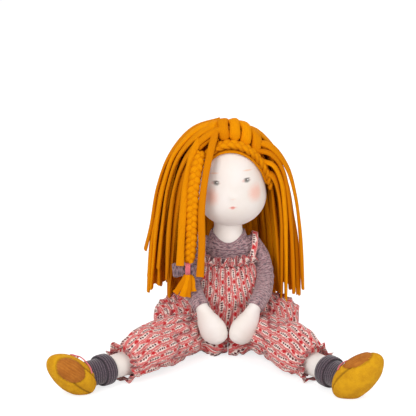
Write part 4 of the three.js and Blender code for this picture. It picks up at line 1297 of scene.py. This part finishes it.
# Middle and half sizes of the cloth under the lap that joins the left leg to the seat
LAP = ((11, -30, 12), (24, 23, 16))
# Pleats in a whole round of the bib and of a hem
BIB_PLEATS = 32
HEM_PLEATS = 17
# Room that the cloth leaves round a resting arm's middle line
ARM_ROOM_AT_SEAT = [(0, 10.8), (0.66, 10.2), (0.7, 9.6), (0.78, 11.5), (1, 11.8)]
ARM_ROOM_AT_LEG = [(0, 10.8), (0.66, 10.4), (0.7, 9.8), (0.8, 11.8), (0.88, 12.4), (1, 11.4)]
ARM_ROOM_SWUNG = 11.9
# Points that are measured against a line at a time
BATCH = 4000


def press_away(co, line, room):
    """Cloth gives way round a limb: points closer than the room at a point of its line move out."""
    middle = np.array(line)
    for start in range(0, len(co), BATCH):
        part = co[start : start + BATCH]
        d = part[:, None, :] - middle[None, :, :]
        far = np.linalg.norm(d, axis=2)
        k = far.argmin(1)
        near = far[np.arange(len(part)), k]
        push = np.clip(room[k] - near, 0, None)
        way = d[np.arange(len(part)), k] / np.maximum(near, 1e-6)[:, None]
        co[start : start + BATCH] = part + way * push[:, None]
    return co


def press_off_arms(co, room):
    """Keeps cloth clear of both resting arms."""
    radius = np.array([between(room, share) for share in np.linspace(0, 1, 60)])
    for side in SIDES.values():
        co = press_away(co, arm_line(side, 60), radius)
    return co


def swung_arms(count=24):
    """Middle lines of both arms at steps of their swing, for cloth that leaves them room."""
    places = []
    for side in SIDES.values():
        axis = V(SWING_AXIS.x, 0, side * SWING_AXIS.z)
        shoulder = V(side * SHOULDER.x, SHOULDER.y, SHOULDER.z)
        for angle in range(0, SWING_END + 1, 8):
            turn = Matrix.Rotation(math.radians(angle), 3, axis)
            places += [shoulder + turn @ (p - shoulder) for p in arm_line(side, count)]
    return places


def gather_wave(turn, count, seed):
    """Uneven pleats round a gathered edge, -1 to 1, the same at both ends of the round."""
    a = 2 * np.pi * turn
    drift = 1.1 * np.sin(3 * a + seed) + 0.7 * np.sin(5 * a + 2.1 * seed) + 0.5 * np.sin(8 * a + seed * 0.7)
    wave = np.sin(count * a + drift)
    return 0.75 * wave + 0.35 * np.sin(2 * count * a + 2 * drift + seed)


def seat_and_bib(cloth):
    """The roll of the seat and the bib in one skin, gathered below the elastic."""
    bm = new_bmesh()
    seats = np.linspace(-1, 1, 41)
    line = [V(SEAT["half"] * math.sin(x * math.pi / 2), 0, SEAT_Z) for x in seats]

    def roll(u):
        across = abs(math.sin((2 * u - 1) * math.pi / 2))
        return SEAT["radius"] * max(0.0, 1 - across ** SEAT["square"]) ** (1 / SEAT["square"]) + 0.3

    sweep(bm, line, UP, roll, roll, sides=48)
    wide, deep = (
        lambda u, stations=stations: between(stations, lerp(*BIB_HEIGHTS, u))
        for stations in (BIB_WIDE, BIB_DEEP)
    )
    line = [V(0, TRUNK_Y, z) for z in np.linspace(*BIB_HEIGHTS, 22)]
    sweep(bm, line, FRONT, wide, deep, sides=64)
    mesh = fuse(to_mesh(bm), 8)
    co = read_points(mesh)
    turn = (np.arctan2(-(co[:, 0]) / 1.3, TRUNK_Y - co[:, 1]) / (2 * np.pi)) % 1
    z = co[:, 2]
    up = np.clip((z - 60) / 43, 0, 1)
    gather = 2.0 * gather_wave(turn, BIB_PLEATS, 1.3) * (0.16 + 0.84 * up**1.8) * np.clip((z - 30) / 35, 0, 1)
    # Pleats that run over the roll of the seat, front to back
    pleat = np.sin(co[:, 0] * 0.78 + 1.7 * rumple(co, 30, 4.0)) + 0.4 * np.sin(co[:, 0] * 1.5 + 1.2)
    out = np.abs(co[:, 0])
    gather += 1.0 * pleat * np.clip((out - 26) / 16, 0, 1) * np.clip((92 - out) / 8, 0, 1)
    # The elastic draws the bib in, and soft folds and tucks lie below it
    pull = -1.4 * np.exp(-(((z - 102.5) / 2.4) ** 2))
    soft = rumple(co, 24, 2.0, (1, 1, 0.5)) * 2.0 * np.clip((104 - z) / 20, 0, 1)
    tuck = -2.0 * creases(co, 16, 6.0, (1, 1, 0.45)) * np.clip((84 - z) / 30, 0, 1)
    lift = (cloth.gather_depth / MM) * gather + pull + soft + tuck
    co = press_off_arms(co + read_points(mesh, "normal") * lift[:, None], ARM_ROOM_AT_SEAT)
    co[:, 2] = np.clip(co[:, 2], 0.1, 103.4)
    inside = (co[:, 0] / 33.0) ** 2 + ((co[:, 1] - TRUNK_Y) / 22.0) ** 2 < 1
    co[:, 2] = np.where(inside & (co[:, 2] > 96), np.minimum(co[:, 2], 101.0), co[:, 2])
    write_points(mesh, co)
    # Painted shade: darker deep in the gathers and tucks, lighter on the gathers' crests
    write_tone(mesh, 0.62 + 0.3 * gather + 0.25 * tuck)
    # Columns run up the cloth and draw together towards the bib's elastic
    draw = np.interp(co[:, 2], [60, 103], [1.0, 1.3])
    sideways = co[:, 0] * draw + 0.6 * co[:, 1]
    wrap(mesh, sideways / 1000, co[:, 2] - 0.9 * np.abs(co[:, 1] - TRUNK_Y), 1000)
    place(mesh, "romper_cloth", "print", "romper_body", "torso")


def trouser_leg(cloth, tag, side):
    """A full leg of soft folds, gathered at the hem, that bends from the seat to the leg."""
    way, outward = leg_way(side)
    bm = new_bmesh()
    stations = np.linspace(TROUSER_START, LEG["hem"], 30)
    heights = [between(TROUSER_TALL, at) for at in stations]
    wide, tall = (
        lambda u, sizes=sizes: between(sizes, lerp(TROUSER_START, LEG["hem"], u))
        for sizes in (TROUSER_WIDE, TROUSER_TALL)
    )
    sweep(bm, [leg_point(side, at, h) for at, h in zip(stations, heights)], UP, wide, tall, sides=48)
    (x, y, z), (wide, deep, tall) = LAP
    for v in bmesh.ops.create_uvsphere(bm, u_segments=32, v_segments=20, radius=1)["verts"]:
        v.co = V(side * x + v.co.x * wide, y + v.co.y * deep, z + v.co.z * tall)
    mesh = fuse(to_mesh(bm), 6)
    co = read_points(mesh)
    flat = co - np.array(leg_point(side, 0, 24))
    at = flat @ np.array(way)
    share = np.clip(at / LEG["length"], 0, 1)
    across = flat @ np.array(outward) + LEG_PLACE[side]["bow"] * np.sin(np.pi * share)
    level = np.interp(at, stations, heights)
    turn = (np.arctan2(across, -(co[:, 2] - level)) / (2 * np.pi) + 0.5 + 0.5) % 1
    hem = np.exp(-np.clip(LEG["hem"] - at, 0, None) / 24)
    flatten = np.clip((LEG["hem"] + 3 - at) / 8, 0.25, 1)
    gather = gather_wave(turn, HEM_PLEATS, 0.6 + side) * hem * 2.4 * flatten
    lengthways = np.stack([at, across, co[:, 2]], 1)
    folds = rumple(lengthways, 24, 11.0 + 3 * side, (0.55, 1, 1))
    tucks = creases(lengthways, 19, 4.0 + side, (0.5, 1.1, 1.1))
    small = rumple(lengthways, 9, 9.0, (0.6, 1, 1))
    ease = np.clip(1.15 - hem, 0.2, 1)
    depth = cloth.fold_depth / MM
    lift = gather + ease * (depth * 1.1 * folds - depth * 1.1 * tucks + 0.6 * small)
    co = press_off_arms(co + read_points(mesh, "normal") * lift[:, None], ARM_ROOM_AT_LEG)
    co[:, 2] = np.where(co[:, 2] < 1.5, 0.15 + 0.2 * np.clip(co[:, 2], 0, 1.5), co[:, 2])
    co[:, 0] = np.where(side * co[:, 0] < 0.4, side * 0.4, co[:, 0])
    write_points(mesh, co)
    # Painted shade: darker in the tucks and between folds and gathers, lighter on their crests
    write_tone(mesh, 0.72 + 0.2 * gather + ease * (0.25 * folds - 0.6 * tucks))
    wrap(mesh, turn, at, 160)
    obj = place(mesh, f"romper_leg_cloth_{tag}", "print", f"romper_leg_{tag}")
    start, end = leg_point(side, 8, 24), leg_point(side, 46, 24)
    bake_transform(obj, "torso", f"leg_{tag}", start=start * MM, end=end * MM)


class DOLL_OT_romper(bpy.types.Operator):
    """Romper: gathered bib and seat, and two full legs that join the seat"""

    bl_idname = "doll.romper"
    bl_label = "Romper"
    bl_options = {"REGISTER", "UNDO"}

    def execute(self, context):
        cloth = context.scene.doll_cloth
        seat_and_bib(cloth)
        for tag, side in SIDES.items():
            trouser_leg(cloth, tag, side)
        return {"FINISHED"}


# Ruffles and straps

FRILL_STEPS = 9
BIB_TOP = 102.6
BIB_FRILL = {
    "wide": 34.2, "deep": 26.2, "height": 14.0, "folds": 23, "flare": 4.4, "wave_height": 2.7, "flop": 0.6,
}
ANKLE_FRILL = {
    "wide": 17.6, "deep": 17.6, "height": 11.0, "folds": 10, "flare": 3.4, "wave_height": 1.5, "flop": 0.15,
}
# The front and back ruffles leave the arms free
BIB_PARTS = {"front": lambda a: math.cos(a) > 0.44, "back": lambda a: math.cos(a) < -0.36}
HEMMED = (
    ("SOLIDIFY", {"thickness": 0.9, "offset": 0.0}),
    ("SUBSURF", {"levels": 1, "render_levels": 1}),
)
# The left strap from the bib over the shoulder to the back ruffle
STRAP = [
    (26.5, -20, 103.6), (28, -21.5, 113), (30.5, -19, 123.5), (31.5, -10, 132.5),
    (31.5, 1, 135), (30, 10, 130), (27.5, 16, 117), (25.5, 15.5, 103.6),
]
STRAP_FACES_FROM = (24, -3, 112)
# Half width and half thickness
STRAP_SIZE = (3.5, 0.8)


def frill(bm, place_of, wide, deep, height, folds, flare, wave_height, flop, seed, part=None):
    """A gathered band that stands up from a ring. Where a fold curls out, its free edge flops over."""
    turn, along, shade = layers_of(bm)
    count = folds * 12
    ring = bmesh.ops.create_circle(bm, segments=count, radius=1)["verts"]
    for k, v in enumerate(ring):
        v[turn] = k / count
    if part:
        bmesh.ops.delete(bm, geom=[v for v in ring if not part(2 * math.pi * v[turn])], context="VERTS")
        ring = list(bm.verts)
    edges = list({e for v in ring for e in v.link_edges})
    rng = random.Random(seed)
    phase = [rng.uniform(0, 6.28) for _ in range(5)]
    for i in range(FRILL_STEPS + 1):
        t = i / FRILL_STEPS
        if i:
            ring, edges = next_ring(bm, edges)
        for v in ring:
            a = 2 * math.pi * v[turn]
            beat = folds * a + 1.5 * math.sin(2 * a + phase[0]) + 1.1 * math.sin(5 * a + phase[1])
            size = 1 + 0.3 * math.sin(3 * a + phase[3]) + 0.2 * math.sin(7 * a + phase[4])
            wave = math.sin(beat) + 0.3 * math.sin(2 * beat + phase[2])
            curl = 0.5 + 0.5 * wave / 1.2
            out = flare * t**0.8 * (0.3 + 1.4 * curl) + wave * size * wave_height * (0.16 + 0.84 * t)
            slide = math.cos(beat) * size * 0.35 * wave_height * t / wide
            rise = height * t * (1 + 0.07 * math.sin(4 * a + phase[3])) - flop * height * curl * t * t
            v.co = place_of(a + slide, wide + out, deep + out, rise)
            v[along] = height * t
            # Painted shade: low in the troughs of the folds and at the gathered base
            v[shade] = 0.5 + 0.5 * wave if t > 0.1 else 0.1


def bib_ruffle(name, arms):
    """One part of the ruffle above the bib's elastic, clear of the swinging arms."""
    bm = new_bmesh()
    on_bib = lambda a, w, d, rise: V(w * math.sin(a), TRUNK_Y - d * math.cos(a), BIB_TOP + rise)
    frill(bm, on_bib, **BIB_FRILL, seed=5, part=BIB_PARTS[name])
    mesh = to_mesh(bm)
    write_points(mesh, press_away(read_points(mesh), arms, np.full(len(arms), ARM_ROOM_SWUNG)))
    mesh = evaluated(mesh, *HEMMED)
    place(mesh, f"bib_ruffle_cloth_{name}", "print", f"bib_ruffle_{name}", "torso", girth=330)


def ankle_ruffle(tag, side):
    """The ruffle that stands out from a trouser leg's hem."""
    _, outward = leg_way(side)

    def on_ankle(a, w, d, rise):
        centre = leg_point(side, LEG["hem"] - 0.4 + rise, lerp(18.5, 20.5, rise / 9))
        p = centre + outward * (w * math.sin(a)) - V(*UP) * (d * math.cos(a))
        p.z = max(p.z, 0.7 + 0.02 * abs(p.z))
        return p

    bm = new_bmesh()
    frill(bm, on_ankle, **ANKLE_FRILL, seed=11 + side)
    mesh = evaluated(to_mesh(bm), *HEMMED)
    place(mesh, f"ankle_ruffle_cloth_{tag}", "print", f"ankle_ruffle_{tag}", f"leg_{tag}", girth=200)


def strap(tag, side):
    """A flat band of the print over one shoulder."""
    line = smooth_line([V(side * x, y, z) for x, y, z in STRAP], 60)
    x, y, z = STRAP_FACES_FROM
    middle = V(side * x, y, z)
    bm = new_bmesh()
    sweep(bm, line, lambda u, c, t: c - middle, *STRAP_SIZE, sides=16, square=3.5, tone=1.0)
    place(to_mesh(bm), f"strap_cloth_{tag}", "print", f"strap_{tag}", "torso", girth=16)


class DOLL_OT_ruffles(bpy.types.Operator):
    """Ruffles above the bib's elastic and round each ankle, and the shoulder straps"""

    bl_idname = "doll.ruffles"
    bl_label = "Ruffles and straps"
    bl_options = {"REGISTER", "UNDO"}

    def execute(self, context):
        arms = swung_arms()
        for name in BIB_PARTS:
            bib_ruffle(name, arms)
        for tag, side in SIDES.items():
            ankle_ruffle(tag, side)
            strap(tag, side)
        return {"FINISHED"}


# Hair

# Each row: how its strips fall (height, reach over the ear, reach behind), where long ones end,
# the height of their tips, and how many fewer strips it has than the outer row
ROWS = {
    "outer": {
        "fall": [(259, 16, 16), (254, 34, 30), (244, 46, 43), (233, 55, 50), (212, 63, 54.5), (186, 71, 56.5),
                 (158, 76, 58), (126, 82, 59)],
        "tip": (87, 60), "tip_z": 56, "fewer": 0,
    },
    "middle": {
        "fall": [(245, 29.5, 27.5), (237.5, 39.5, 36), (226, 49, 43.5), (205, 56.5, 47.5), (178, 63, 49),
                 (150, 67, 50.5), (120, 72, 51.5)],
        "tip": (76, 52), "tip_z": 62, "fewer": 2,
    },
    "inner": {
        "fall": [(227.5, 39.5, 31), (221, 43, 34.5), (211, 47, 37.5), (190, 52.5, 40.5), (160, 57, 42),
                 (125, 61, 43)],
        "tip": (64, 44), "tip_z": 50, "fewer": 5,
    },
}
# The rows stand out a little more on the doll's right
FULLNESS = {1: 1.0, -1: 1.055}
# Degrees from the ear to the back over which a row's strips spread
ROW_SPREAD = 84
# One strip of the outer right row is cut short
SHORT_TIP_Z = 108
# Strips combed sideways over the ears, from the parting or from behind the headband's end
SWEPT = {
    -1: [
        [(-4, -22, 264), (-26, -28, 254), (-47, -25, 230), (-60, -19, 196), (-67, -14, 150), (-71, -10, 82)],
        [(-7, -15, 266), (-32, -22, 257), (-55, -19, 231), (-68, -13, 194), (-75, -8, 148), (-81, -4, 92)],
        [(-8, -7, 267), (-36, -14, 259), (-60, -12, 232), (-74, -6, 192), (-82, -2, 146), (-89, 1, 66)],
        [(-14, -25, 258), (-34, -27, 241), (-49, -23, 212), (-58, -15, 172), (-64, -6, 124), (-67, -4, 70)],
        [(-9, 0, 268), (-40, -5, 258), (-66, -4, 228), (-80, 1, 190), (-89, 4, 140), (-96, 6, 112)],
    ],
    1: [
        [(33, -18, 236), (47, -19, 233), (60, -14, 216), (68, -9, 186), (73, -5, 140), (77, -3, 62)],
        [(38, -18, 224), (50, -19, 220), (60, -15, 200), (65, -10, 166), (67, -7, 120), (68, -5, 50)],
        [(40, -17, 212), (50, -18, 207), (57, -13, 188), (61, -8, 154), (62.5, -3, 110), (63, -3, 56)],
        [(30, -14, 246), (48, -16, 240), (66, -11, 216), (76, -6, 184), (83, -2, 138), (88, 0, 66)],
    ],
}
LONG_STRIP = [
    (-13, -22, 263), (-19, -38, 245), (-25, -46, 218), (-30, -50, 178), (-30, -52.5, 133), (-32, -54.5, 99),
]
# Hangs in front of the bow, clear of the raised arm
SHORT_STRIP = [(-22, -14, 262), (-37, -31, 243), (-46, -42, 212), (-51.5, -49, 165), (-54.5, -54, 112)]
LOOP_TURNS = (-20, -4, 12, 28, 44)
BRAID = [
    (-30.5, -33.5, 238), (-35, -42, 224), (-39, -47, 200), (-41, -48, 165), (-42, -48, 140),
    (-44, -46.5, 114),
]
BRAID_ENDS = [
    [(-46.5, -47, 101), (-50, -48.5, 93), (-57, -49, 82), (-60, -49, 77.5)],
    [(-45.8, -48, 101), (-47, -49.5, 92), (-50.5, -50, 80), (-52, -50, 74)],
    [(-45, -48, 101), (-44.5, -49.5, 92), (-45.5, -50, 80), (-46, -50, 73.5)],
    [(-44.5, -47, 101), (-41.5, -48, 93), (-40.5, -48, 84), (-40, -48, 79.5)],
]
# Degrees over the head at which the headband and the strip under it have their points
BAND_TURNS = (-34, -14, 6, 26, 46, 66, 82)
HAIRLINE_TURNS = (-36, -12, 12, 36, 58, 76)
# Plaits: whole width and thickness, length of one turn, half width and half thickness of a strand
HEADBAND = {"width": 15.6, "thick": 7.0, "period": 25.0, "strand_wide": 4.1, "strand_thick": 2.2}
SIDE_PLAIT = {"width": 14.2, "thick": 7.2, "period": 22.0, "strand_wide": 3.8, "strand_thick": 2.3}
# Width and thickness of the strips in a crown loop and in a braid end
LOOP_SIZE = (11.6, 8.0)
BRAID_END_SIZE = (7.2, 3.0)
# Half width and half thickness of the strip at the hairline
HAIRLINE_SIZE = (3.0, 1.9)
# The cap stands off the skin by its wall and clearance. It is cut at the hairline and at its lower edge
CAP_GROW = 1.5
HAIRLINE = {"lean": 28, "ahead": 0.62, "up": 0.79}
CAP_LOW_Z = 158


def hang(obj, start=0.16, end=0.09):
    """Hair rides with the head at its top, and with the torso where it hangs lower."""
    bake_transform(obj, "head", "torso", start=(0, 0, start), end=(0, 0, end))


def strip(bm, points, out, width, thick, rng, count=44, twist=0.35):
    """One rolled jersey strip: a flat oval with soft edges that turns a little on its way."""
    line = smooth_line(points, count)
    phase = rng.uniform(0, 6.28)
    rate = rng.uniform(0.7, 1.5)
    half_wide = width / 2 * rng.uniform(0.92, 1.08)
    half_thick = thick / 2 * rng.uniform(0.9, 1.1)

    def face(u, c, t):
        angle = twist * math.sin(phase + 6.28 * rate * u)
        return Matrix.Rotation(angle, 3, t) @ square_to(out(u, c, t) if callable(out) else out, t)

    # The cut end unrolls: wider and flatter
    end = lambda u: max(0.0, (u - 0.86) / 0.14)
    start = lambda u: lerp(0.7, 1, min(u / 0.08, 1))
    wide = lambda u: half_wide * (1 + 0.06 * math.sin(9 * u + phase) + 0.2 * end(u)) * start(u)
    deep = lambda u: half_thick * (1 + 0.08 * math.sin(7 * u + 2 * phase) - 0.22 * end(u))
    sweep(bm, line, face, wide, deep, sides=14, square=2.6, tone=rng.uniform(0.2, 1.0))


def row_points(side, name, i, count, rng):
    """Points of one strip of a row: it strays, leans and wanders by chance."""
    row = ROWS[name]
    fall = row["fall"]
    share = min(max((i + rng.uniform(-0.3, 0.3)) / (count - 1), 0), 1)
    turn = ROW_SPREAD * share
    tip_z = row["tip_z"] + (8 if turn < 40 else -6) + rng.uniform(-9, 12)
    if side < 0 and name == "outer" and i == 1:
        tip_z = SHORT_TIP_Z
    stray, lean = rng.uniform(-1, 1), rng.uniform(-1, 0.4)
    phase = rng.uniform(0, 6.28)
    a = math.radians(turn)

    def at(z, ear, back, k):
        ear, back = ear + 2.5 * lean * k, back + 2.0 * lean * k
        x = HAIR_CENTRE.x + side * (FULLNESS[side] * ear * math.cos(a) + 0.25)
        y = HAIR_CENTRE.y + back * math.sin(a)
        wander = 5.0 * stray * k * k + 1.3 * math.sin(phase + 5 * k) * k
        return V(x, y, z) + V(-math.sin(a) * side, math.cos(a), 0) * wander

    points = [at(z, ear, back, j / len(fall)) for j, (z, ear, back) in enumerate(fall)]
    if tip_z < fall[-1][0] - 20:
        points.append(at(tip_z, *row["tip"], 1.0))
    else:
        points[-1] = at(tip_z, *fall[-1][1:], 1.0)
    return points


class DOLL_OT_hair_rows(bpy.types.Operator):
    """Three rows of jersey strips that fall from the crown on each side"""

    bl_idname = "doll.hair_rows"
    bl_label = "Hair rows"
    bl_options = {"REGISTER", "UNDO"}

    def execute(self, context):
        hair = context.scene.doll_hair
        width, thick = hair.strip_width / MM, hair.strip_thickness / MM
        rng = random.Random(hair.seed)
        fallen = lambda u, c, t: V(c.x + 3, c.y - 2, 18)
        combed = lambda u, c, t: V(c.x * 1.6, c.y - 8, 14)
        for tag, side in SIDES.items():
            for name, row in ROWS.items():
                bm = new_bmesh()
                count = hair.fullness - row["fewer"]
                for i in range(count):
                    strip(bm, row_points(side, name, i, count, rng), fallen, width, thick, rng)
                for points in SWEPT[side] if name == "inner" else ():
                    strip(bm, points, combed, width * 1.08, thick, rng, count=52, twist=0.2)
                obj = place(to_mesh(bm), f"hair_{name}_strips_{tag}", "strip", f"hair_{name}_{tag}", girth=16)
                hang(obj, 0.15, 0.07)
        return {"FINISHED"}


def plait(bm, line, out, width, thick, period, strand_wide, strand_thick, tone=0.6, thin=lambda u: 1.0):
    """Three strands that pass over and under each other, with painted shade where one dips under its
    neighbour.
    """
    n = len(line)
    total = line_length(line)
    swing = width / 2 - strand_wide
    runs = [direction(line, i) for i in range(n)]
    ways = [square_to(out(i / (n - 1), line[i], runs[i]), runs[i]) for i in range(n)]
    for k in range(3):
        path = []
        for i, (c, t, o) in enumerate(zip(line, runs, ways)):
            u = i / (n - 1)
            s = 2 * math.pi * (u * total / period + k / 3)
            sideways = o.cross(t) * (swing * thin(u) * math.sin(s))
            path.append(c + sideways + o * ((thick / 2 - strand_thick) * math.sin(2 * s)))
        face = lambda u, c, t: ways[round(u * (n - 1))]
        wide = lambda u: strand_wide * thin(u)
        sweep(bm, path, face, wide, strand_thick, sides=10, square=2.3, tone=tone + 0.12 * (k - 1))
    # Painted shade: the tone drops where a strand lies low in the plait
    _, _, shade = layers_of(bm)
    middle = np.array(line)
    for v in bm.verts:
        i = int(np.linalg.norm(middle - np.array(v.co), axis=1).argmin())
        rise = (v.co - line[i]).dot(ways[i]) / (thick / 2)
        v[shade] = min(max(v[shade] + 0.9 * (rise - 0.55), 0.0), 1.0)


def wig_base():
    """The skull's egg grown by the cap's wall, cut off at the hairline and below the ears."""
    bm = new_bmesh()
    head_shape(bm, CAP_GROW)
    lean = math.radians(HAIRLINE["lean"])
    hairline = on_head(0, -HEAD["r"] * HAIRLINE["ahead"], HEAD["above"] * HAIRLINE["up"])
    brow = {"plane_co": hairline, "plane_no": V(0, -math.cos(lean), -math.sin(lean)), "clear_outer": True}
    nape = {"plane_co": (0, 0, CAP_LOW_Z), "plane_no": UP, "clear_inner": True}
    for cut in (brow, nape):
        bmesh.ops.bisect_plane(bm, geom=bm.verts[:] + bm.edges[:] + bm.faces[:], **cut)
    turn, along, _ = layers_of(bm)
    for v in bm.verts:
        v[turn] = (math.atan2(v.co.y + 4, v.co.x - 4) / (2 * math.pi)) % 1
        v[along] = v.co.z
    place(to_mesh(bm), "wig_base", "strip", "hair_cap", "head", girth=200)


class DOLL_OT_crown(bpy.types.Operator):
    """Wig base, plaited headband, the strip under it and the loops behind it"""

    bl_idname = "doll.crown"
    bl_label = "Crown"
    bl_options = {"REGISTER", "UNDO"}

    def execute(self, context):
        wig_base()
        middle = on_head(0, 0, 0)
        outward = lambda u, c, t: c - middle
        bm = new_bmesh()
        line = smooth_line([band_point(turn, 6.0, 38) for turn in BAND_TURNS], 110)
        plait(bm, line, outward, **HEADBAND)
        place(to_mesh(bm), "headband_plait", "strip", "headband_braid", "head", girth=16)

        bm = new_bmesh()
        line = smooth_line([band_point(turn, 2.4, 43) for turn in HAIRLINE_TURNS], 50)
        sweep(bm, line, outward, *HAIRLINE_SIZE, sides=12, square=2.4, tone=0.6)
        place(to_mesh(bm), "hairline_cord", "strip", "hairline_strip", "head", girth=16)

        rng = random.Random(3)
        bm = new_bmesh()
        for turn in LOOP_TURNS:
            low = band_point(turn, 1.5, 28)
            points = [low, band_point(turn * 0.95, 9.5, 22), band_point(turn * 0.86, 12.5, 12)]
            points.append(V(-3 + low.x * 0.4, -6, 265))
            strip(bm, points, outward, *LOOP_SIZE, rng, count=24, twist=0.1)
        place(to_mesh(bm), "crown_loop_strips", "strip", "crown_loops", "head", girth=18)
        return {"FINISHED"}


class DOLL_OT_front_hair(bpy.types.Operator):
    """Two loose strips over the brow, and the side braid with its fanned ends"""

    bl_idname = "doll.front_hair"
    bl_label = "Front hair"
    bl_options = {"REGISTER", "UNDO"}

    def execute(self, context):
        hair = context.scene.doll_hair
        width, thick = hair.strip_width / MM * 1.02, hair.strip_thickness / MM
        rng = random.Random(hair.seed + 1)
        out = (-0.2, -1, 0.2)
        for name, points in (("long", LONG_STRIP), ("short", SHORT_STRIP)):
            bm = new_bmesh()
            strip(bm, points, out, width, thick, rng, count=60, twist=0.15)
            hang(place(to_mesh(bm), f"front_strip_{name}_cord", "strip", f"front_strip_{name}", girth=16))

        bm = new_bmesh()
        thin = lambda u: lerp(0.7, 1, min(u / 0.1, 1)) * lerp(1, 0.8, max(u - 0.92, 0) / 0.08)
        forward = lambda u, c, t: FRONT
        plait(bm, smooth_line(BRAID, 150), forward, **SIDE_PLAIT, tone=0.45, thin=thin)
        hang(place(to_mesh(bm), "side_braid_plait", "strip", "side_braid", girth=14))

        bm = new_bmesh()
        for points in BRAID_ENDS:
            strip(bm, points, out, *BRAID_END_SIZE, rng, count=20, twist=0.1)
        hang(place(to_mesh(bm), "braid_end_strips", "strip", "braid_ends", girth=16))
        return {"FINISHED"}


# Bow

BOW = V(-45.5, -46, 106)
BOW_REACH = 17.5
# Share of a lobe's reach, half height, half depth
BOW_LOBE = [
    (-0.04, 2.4, 2.6), (0.1, 3.4, 3.0), (0.3, 5.6, 3.9), (0.55, 7.6, 4.4), (0.8, 8.6, 4.2), (0.95, 8.0, 3.1),
    (1.0, 7.2, 2.0),
]
# Three turns of cord round the bow's middle: how far apart, half depth, half height, half sizes of the cord
BINDING = {"step": 1.9, "deep": 5.6, "tall": 6.4, "cord": (1.1, 1.0)}


class DOLL_OT_bow(bpy.types.Operator):
    """Knit bow at the braid's end, bound with a soft coral cord"""

    bl_idname = "doll.bow"
    bl_label = "Bow"
    bl_options = {"REGISTER", "UNDO"}

    def execute(self, context):
        bm = new_bmesh()
        tall = [(s, height) for s, height, _ in BOW_LOBE]
        deep = [(s, depth) for s, _, depth in BOW_LOBE]
        half_tall, half_deep = (
            lambda u, sizes=sizes: between(sizes, lerp(BOW_LOBE[0][0], 1.0, u)) for sizes in (tall, deep)
        )
        for way in (1, -1):
            line = [BOW + V(way * s * BOW_REACH, -1.0, -s * (3.5 + 1.5 * way)) for s, _, _ in BOW_LOBE]
            sweep(bm, smooth_line(line, 26), FRONT, half_tall, half_deep, sides=40, square=2.2)
        mesh = to_mesh(bm)
        co = read_points(mesh)
        reach = np.abs(co[:, 0] - BOW.x) / BOW_REACH
        fold = np.sin((co[:, 2] - BOW.z) * 1.5 / np.clip(reach + 0.25, 0.25, 1)) * np.exp(-reach * 2.2)
        push_out(mesh, 0.8 * fold + 0.35 * rumple(co, 8, 1.0))
        # Drawn in the darker copy of the knit, as painted shade
        obj = place(mesh, "bow_knit", "bow", "braid_bow", girth=46)
        hang(obj)

        bm = new_bmesh()
        for k in (-1, 0, 1):
            ring = [(math.sin(a), math.cos(a)) for a in np.linspace(0, 2 * math.pi, 33)]
            deep, tall = BINDING["deep"], BINDING["tall"]
            line = [BOW + V(k * BINDING["step"] + 0.3 * s, -0.5 + deep * s, tall * c) for s, c in ring]
            sweep(bm, line, lambda u, c, t: c - BOW, *BINDING["cord"], sides=10)
        hang(place(to_mesh(bm), "bow_binding", "cord", "braid_tie", girth=6))
        return {"FINISHED"}


# Add-on

GROUPS = {
    "doll_colours": DollColours,
    "doll_face": DollFace,
    "doll_hair": DollHair,
    "doll_cloth": DollCloth,
    "doll_stage": DollStage,
}
PIECES = (
    DOLL_OT_stage,
    DOLL_OT_laces,
    DOLL_OT_head,
    DOLL_OT_body,
    DOLL_OT_sweater,
    DOLL_OT_arms,
    DOLL_OT_legs,
    DOLL_OT_socks,
    DOLL_OT_shoes,
    DOLL_OT_romper,
    DOLL_OT_ruffles,
    DOLL_OT_hair_rows,
    DOLL_OT_crown,
    DOLL_OT_front_hair,
    DOLL_OT_bow,
)


class DOLL_PT_panel(bpy.types.Panel):
    """Settings of the doll, and its pieces in the order in which they are made"""

    bl_label = "Rag doll"
    bl_idname = "DOLL_PT_panel"
    bl_space_type = "VIEW_3D"
    bl_region_type = "UI"
    bl_category = "Rag doll"

    def draw(self, context):
        for name, group in GROUPS.items():
            for setting in group.__annotations__:
                self.layout.prop(getattr(context.scene, name), setting)
        for piece in PIECES:
            self.layout.operator(piece.bl_idname)


def register():
    for name, group in GROUPS.items():
        bpy.utils.register_class(group)
        setattr(bpy.types.Scene, name, bpy.props.PointerProperty(type=group))
    for piece in PIECES:
        bpy.utils.register_class(piece)
    bpy.utils.register_class(DOLL_PT_panel)


def unregister():
    bpy.utils.unregister_class(DOLL_PT_panel)
    for piece in reversed(PIECES):
        bpy.utils.unregister_class(piece)
    for name, group in GROUPS.items():
        delattr(bpy.types.Scene, name)
        bpy.utils.unregister_class(group)


def main():
    """Makes every piece in order."""
    register()
    for piece in PIECES:
        group, name = piece.bl_idname.split(".")
        getattr(getattr(bpy.ops, group), name)()
    bpy.context.view_layer.update()


if __name__ == "__main__":
    main()
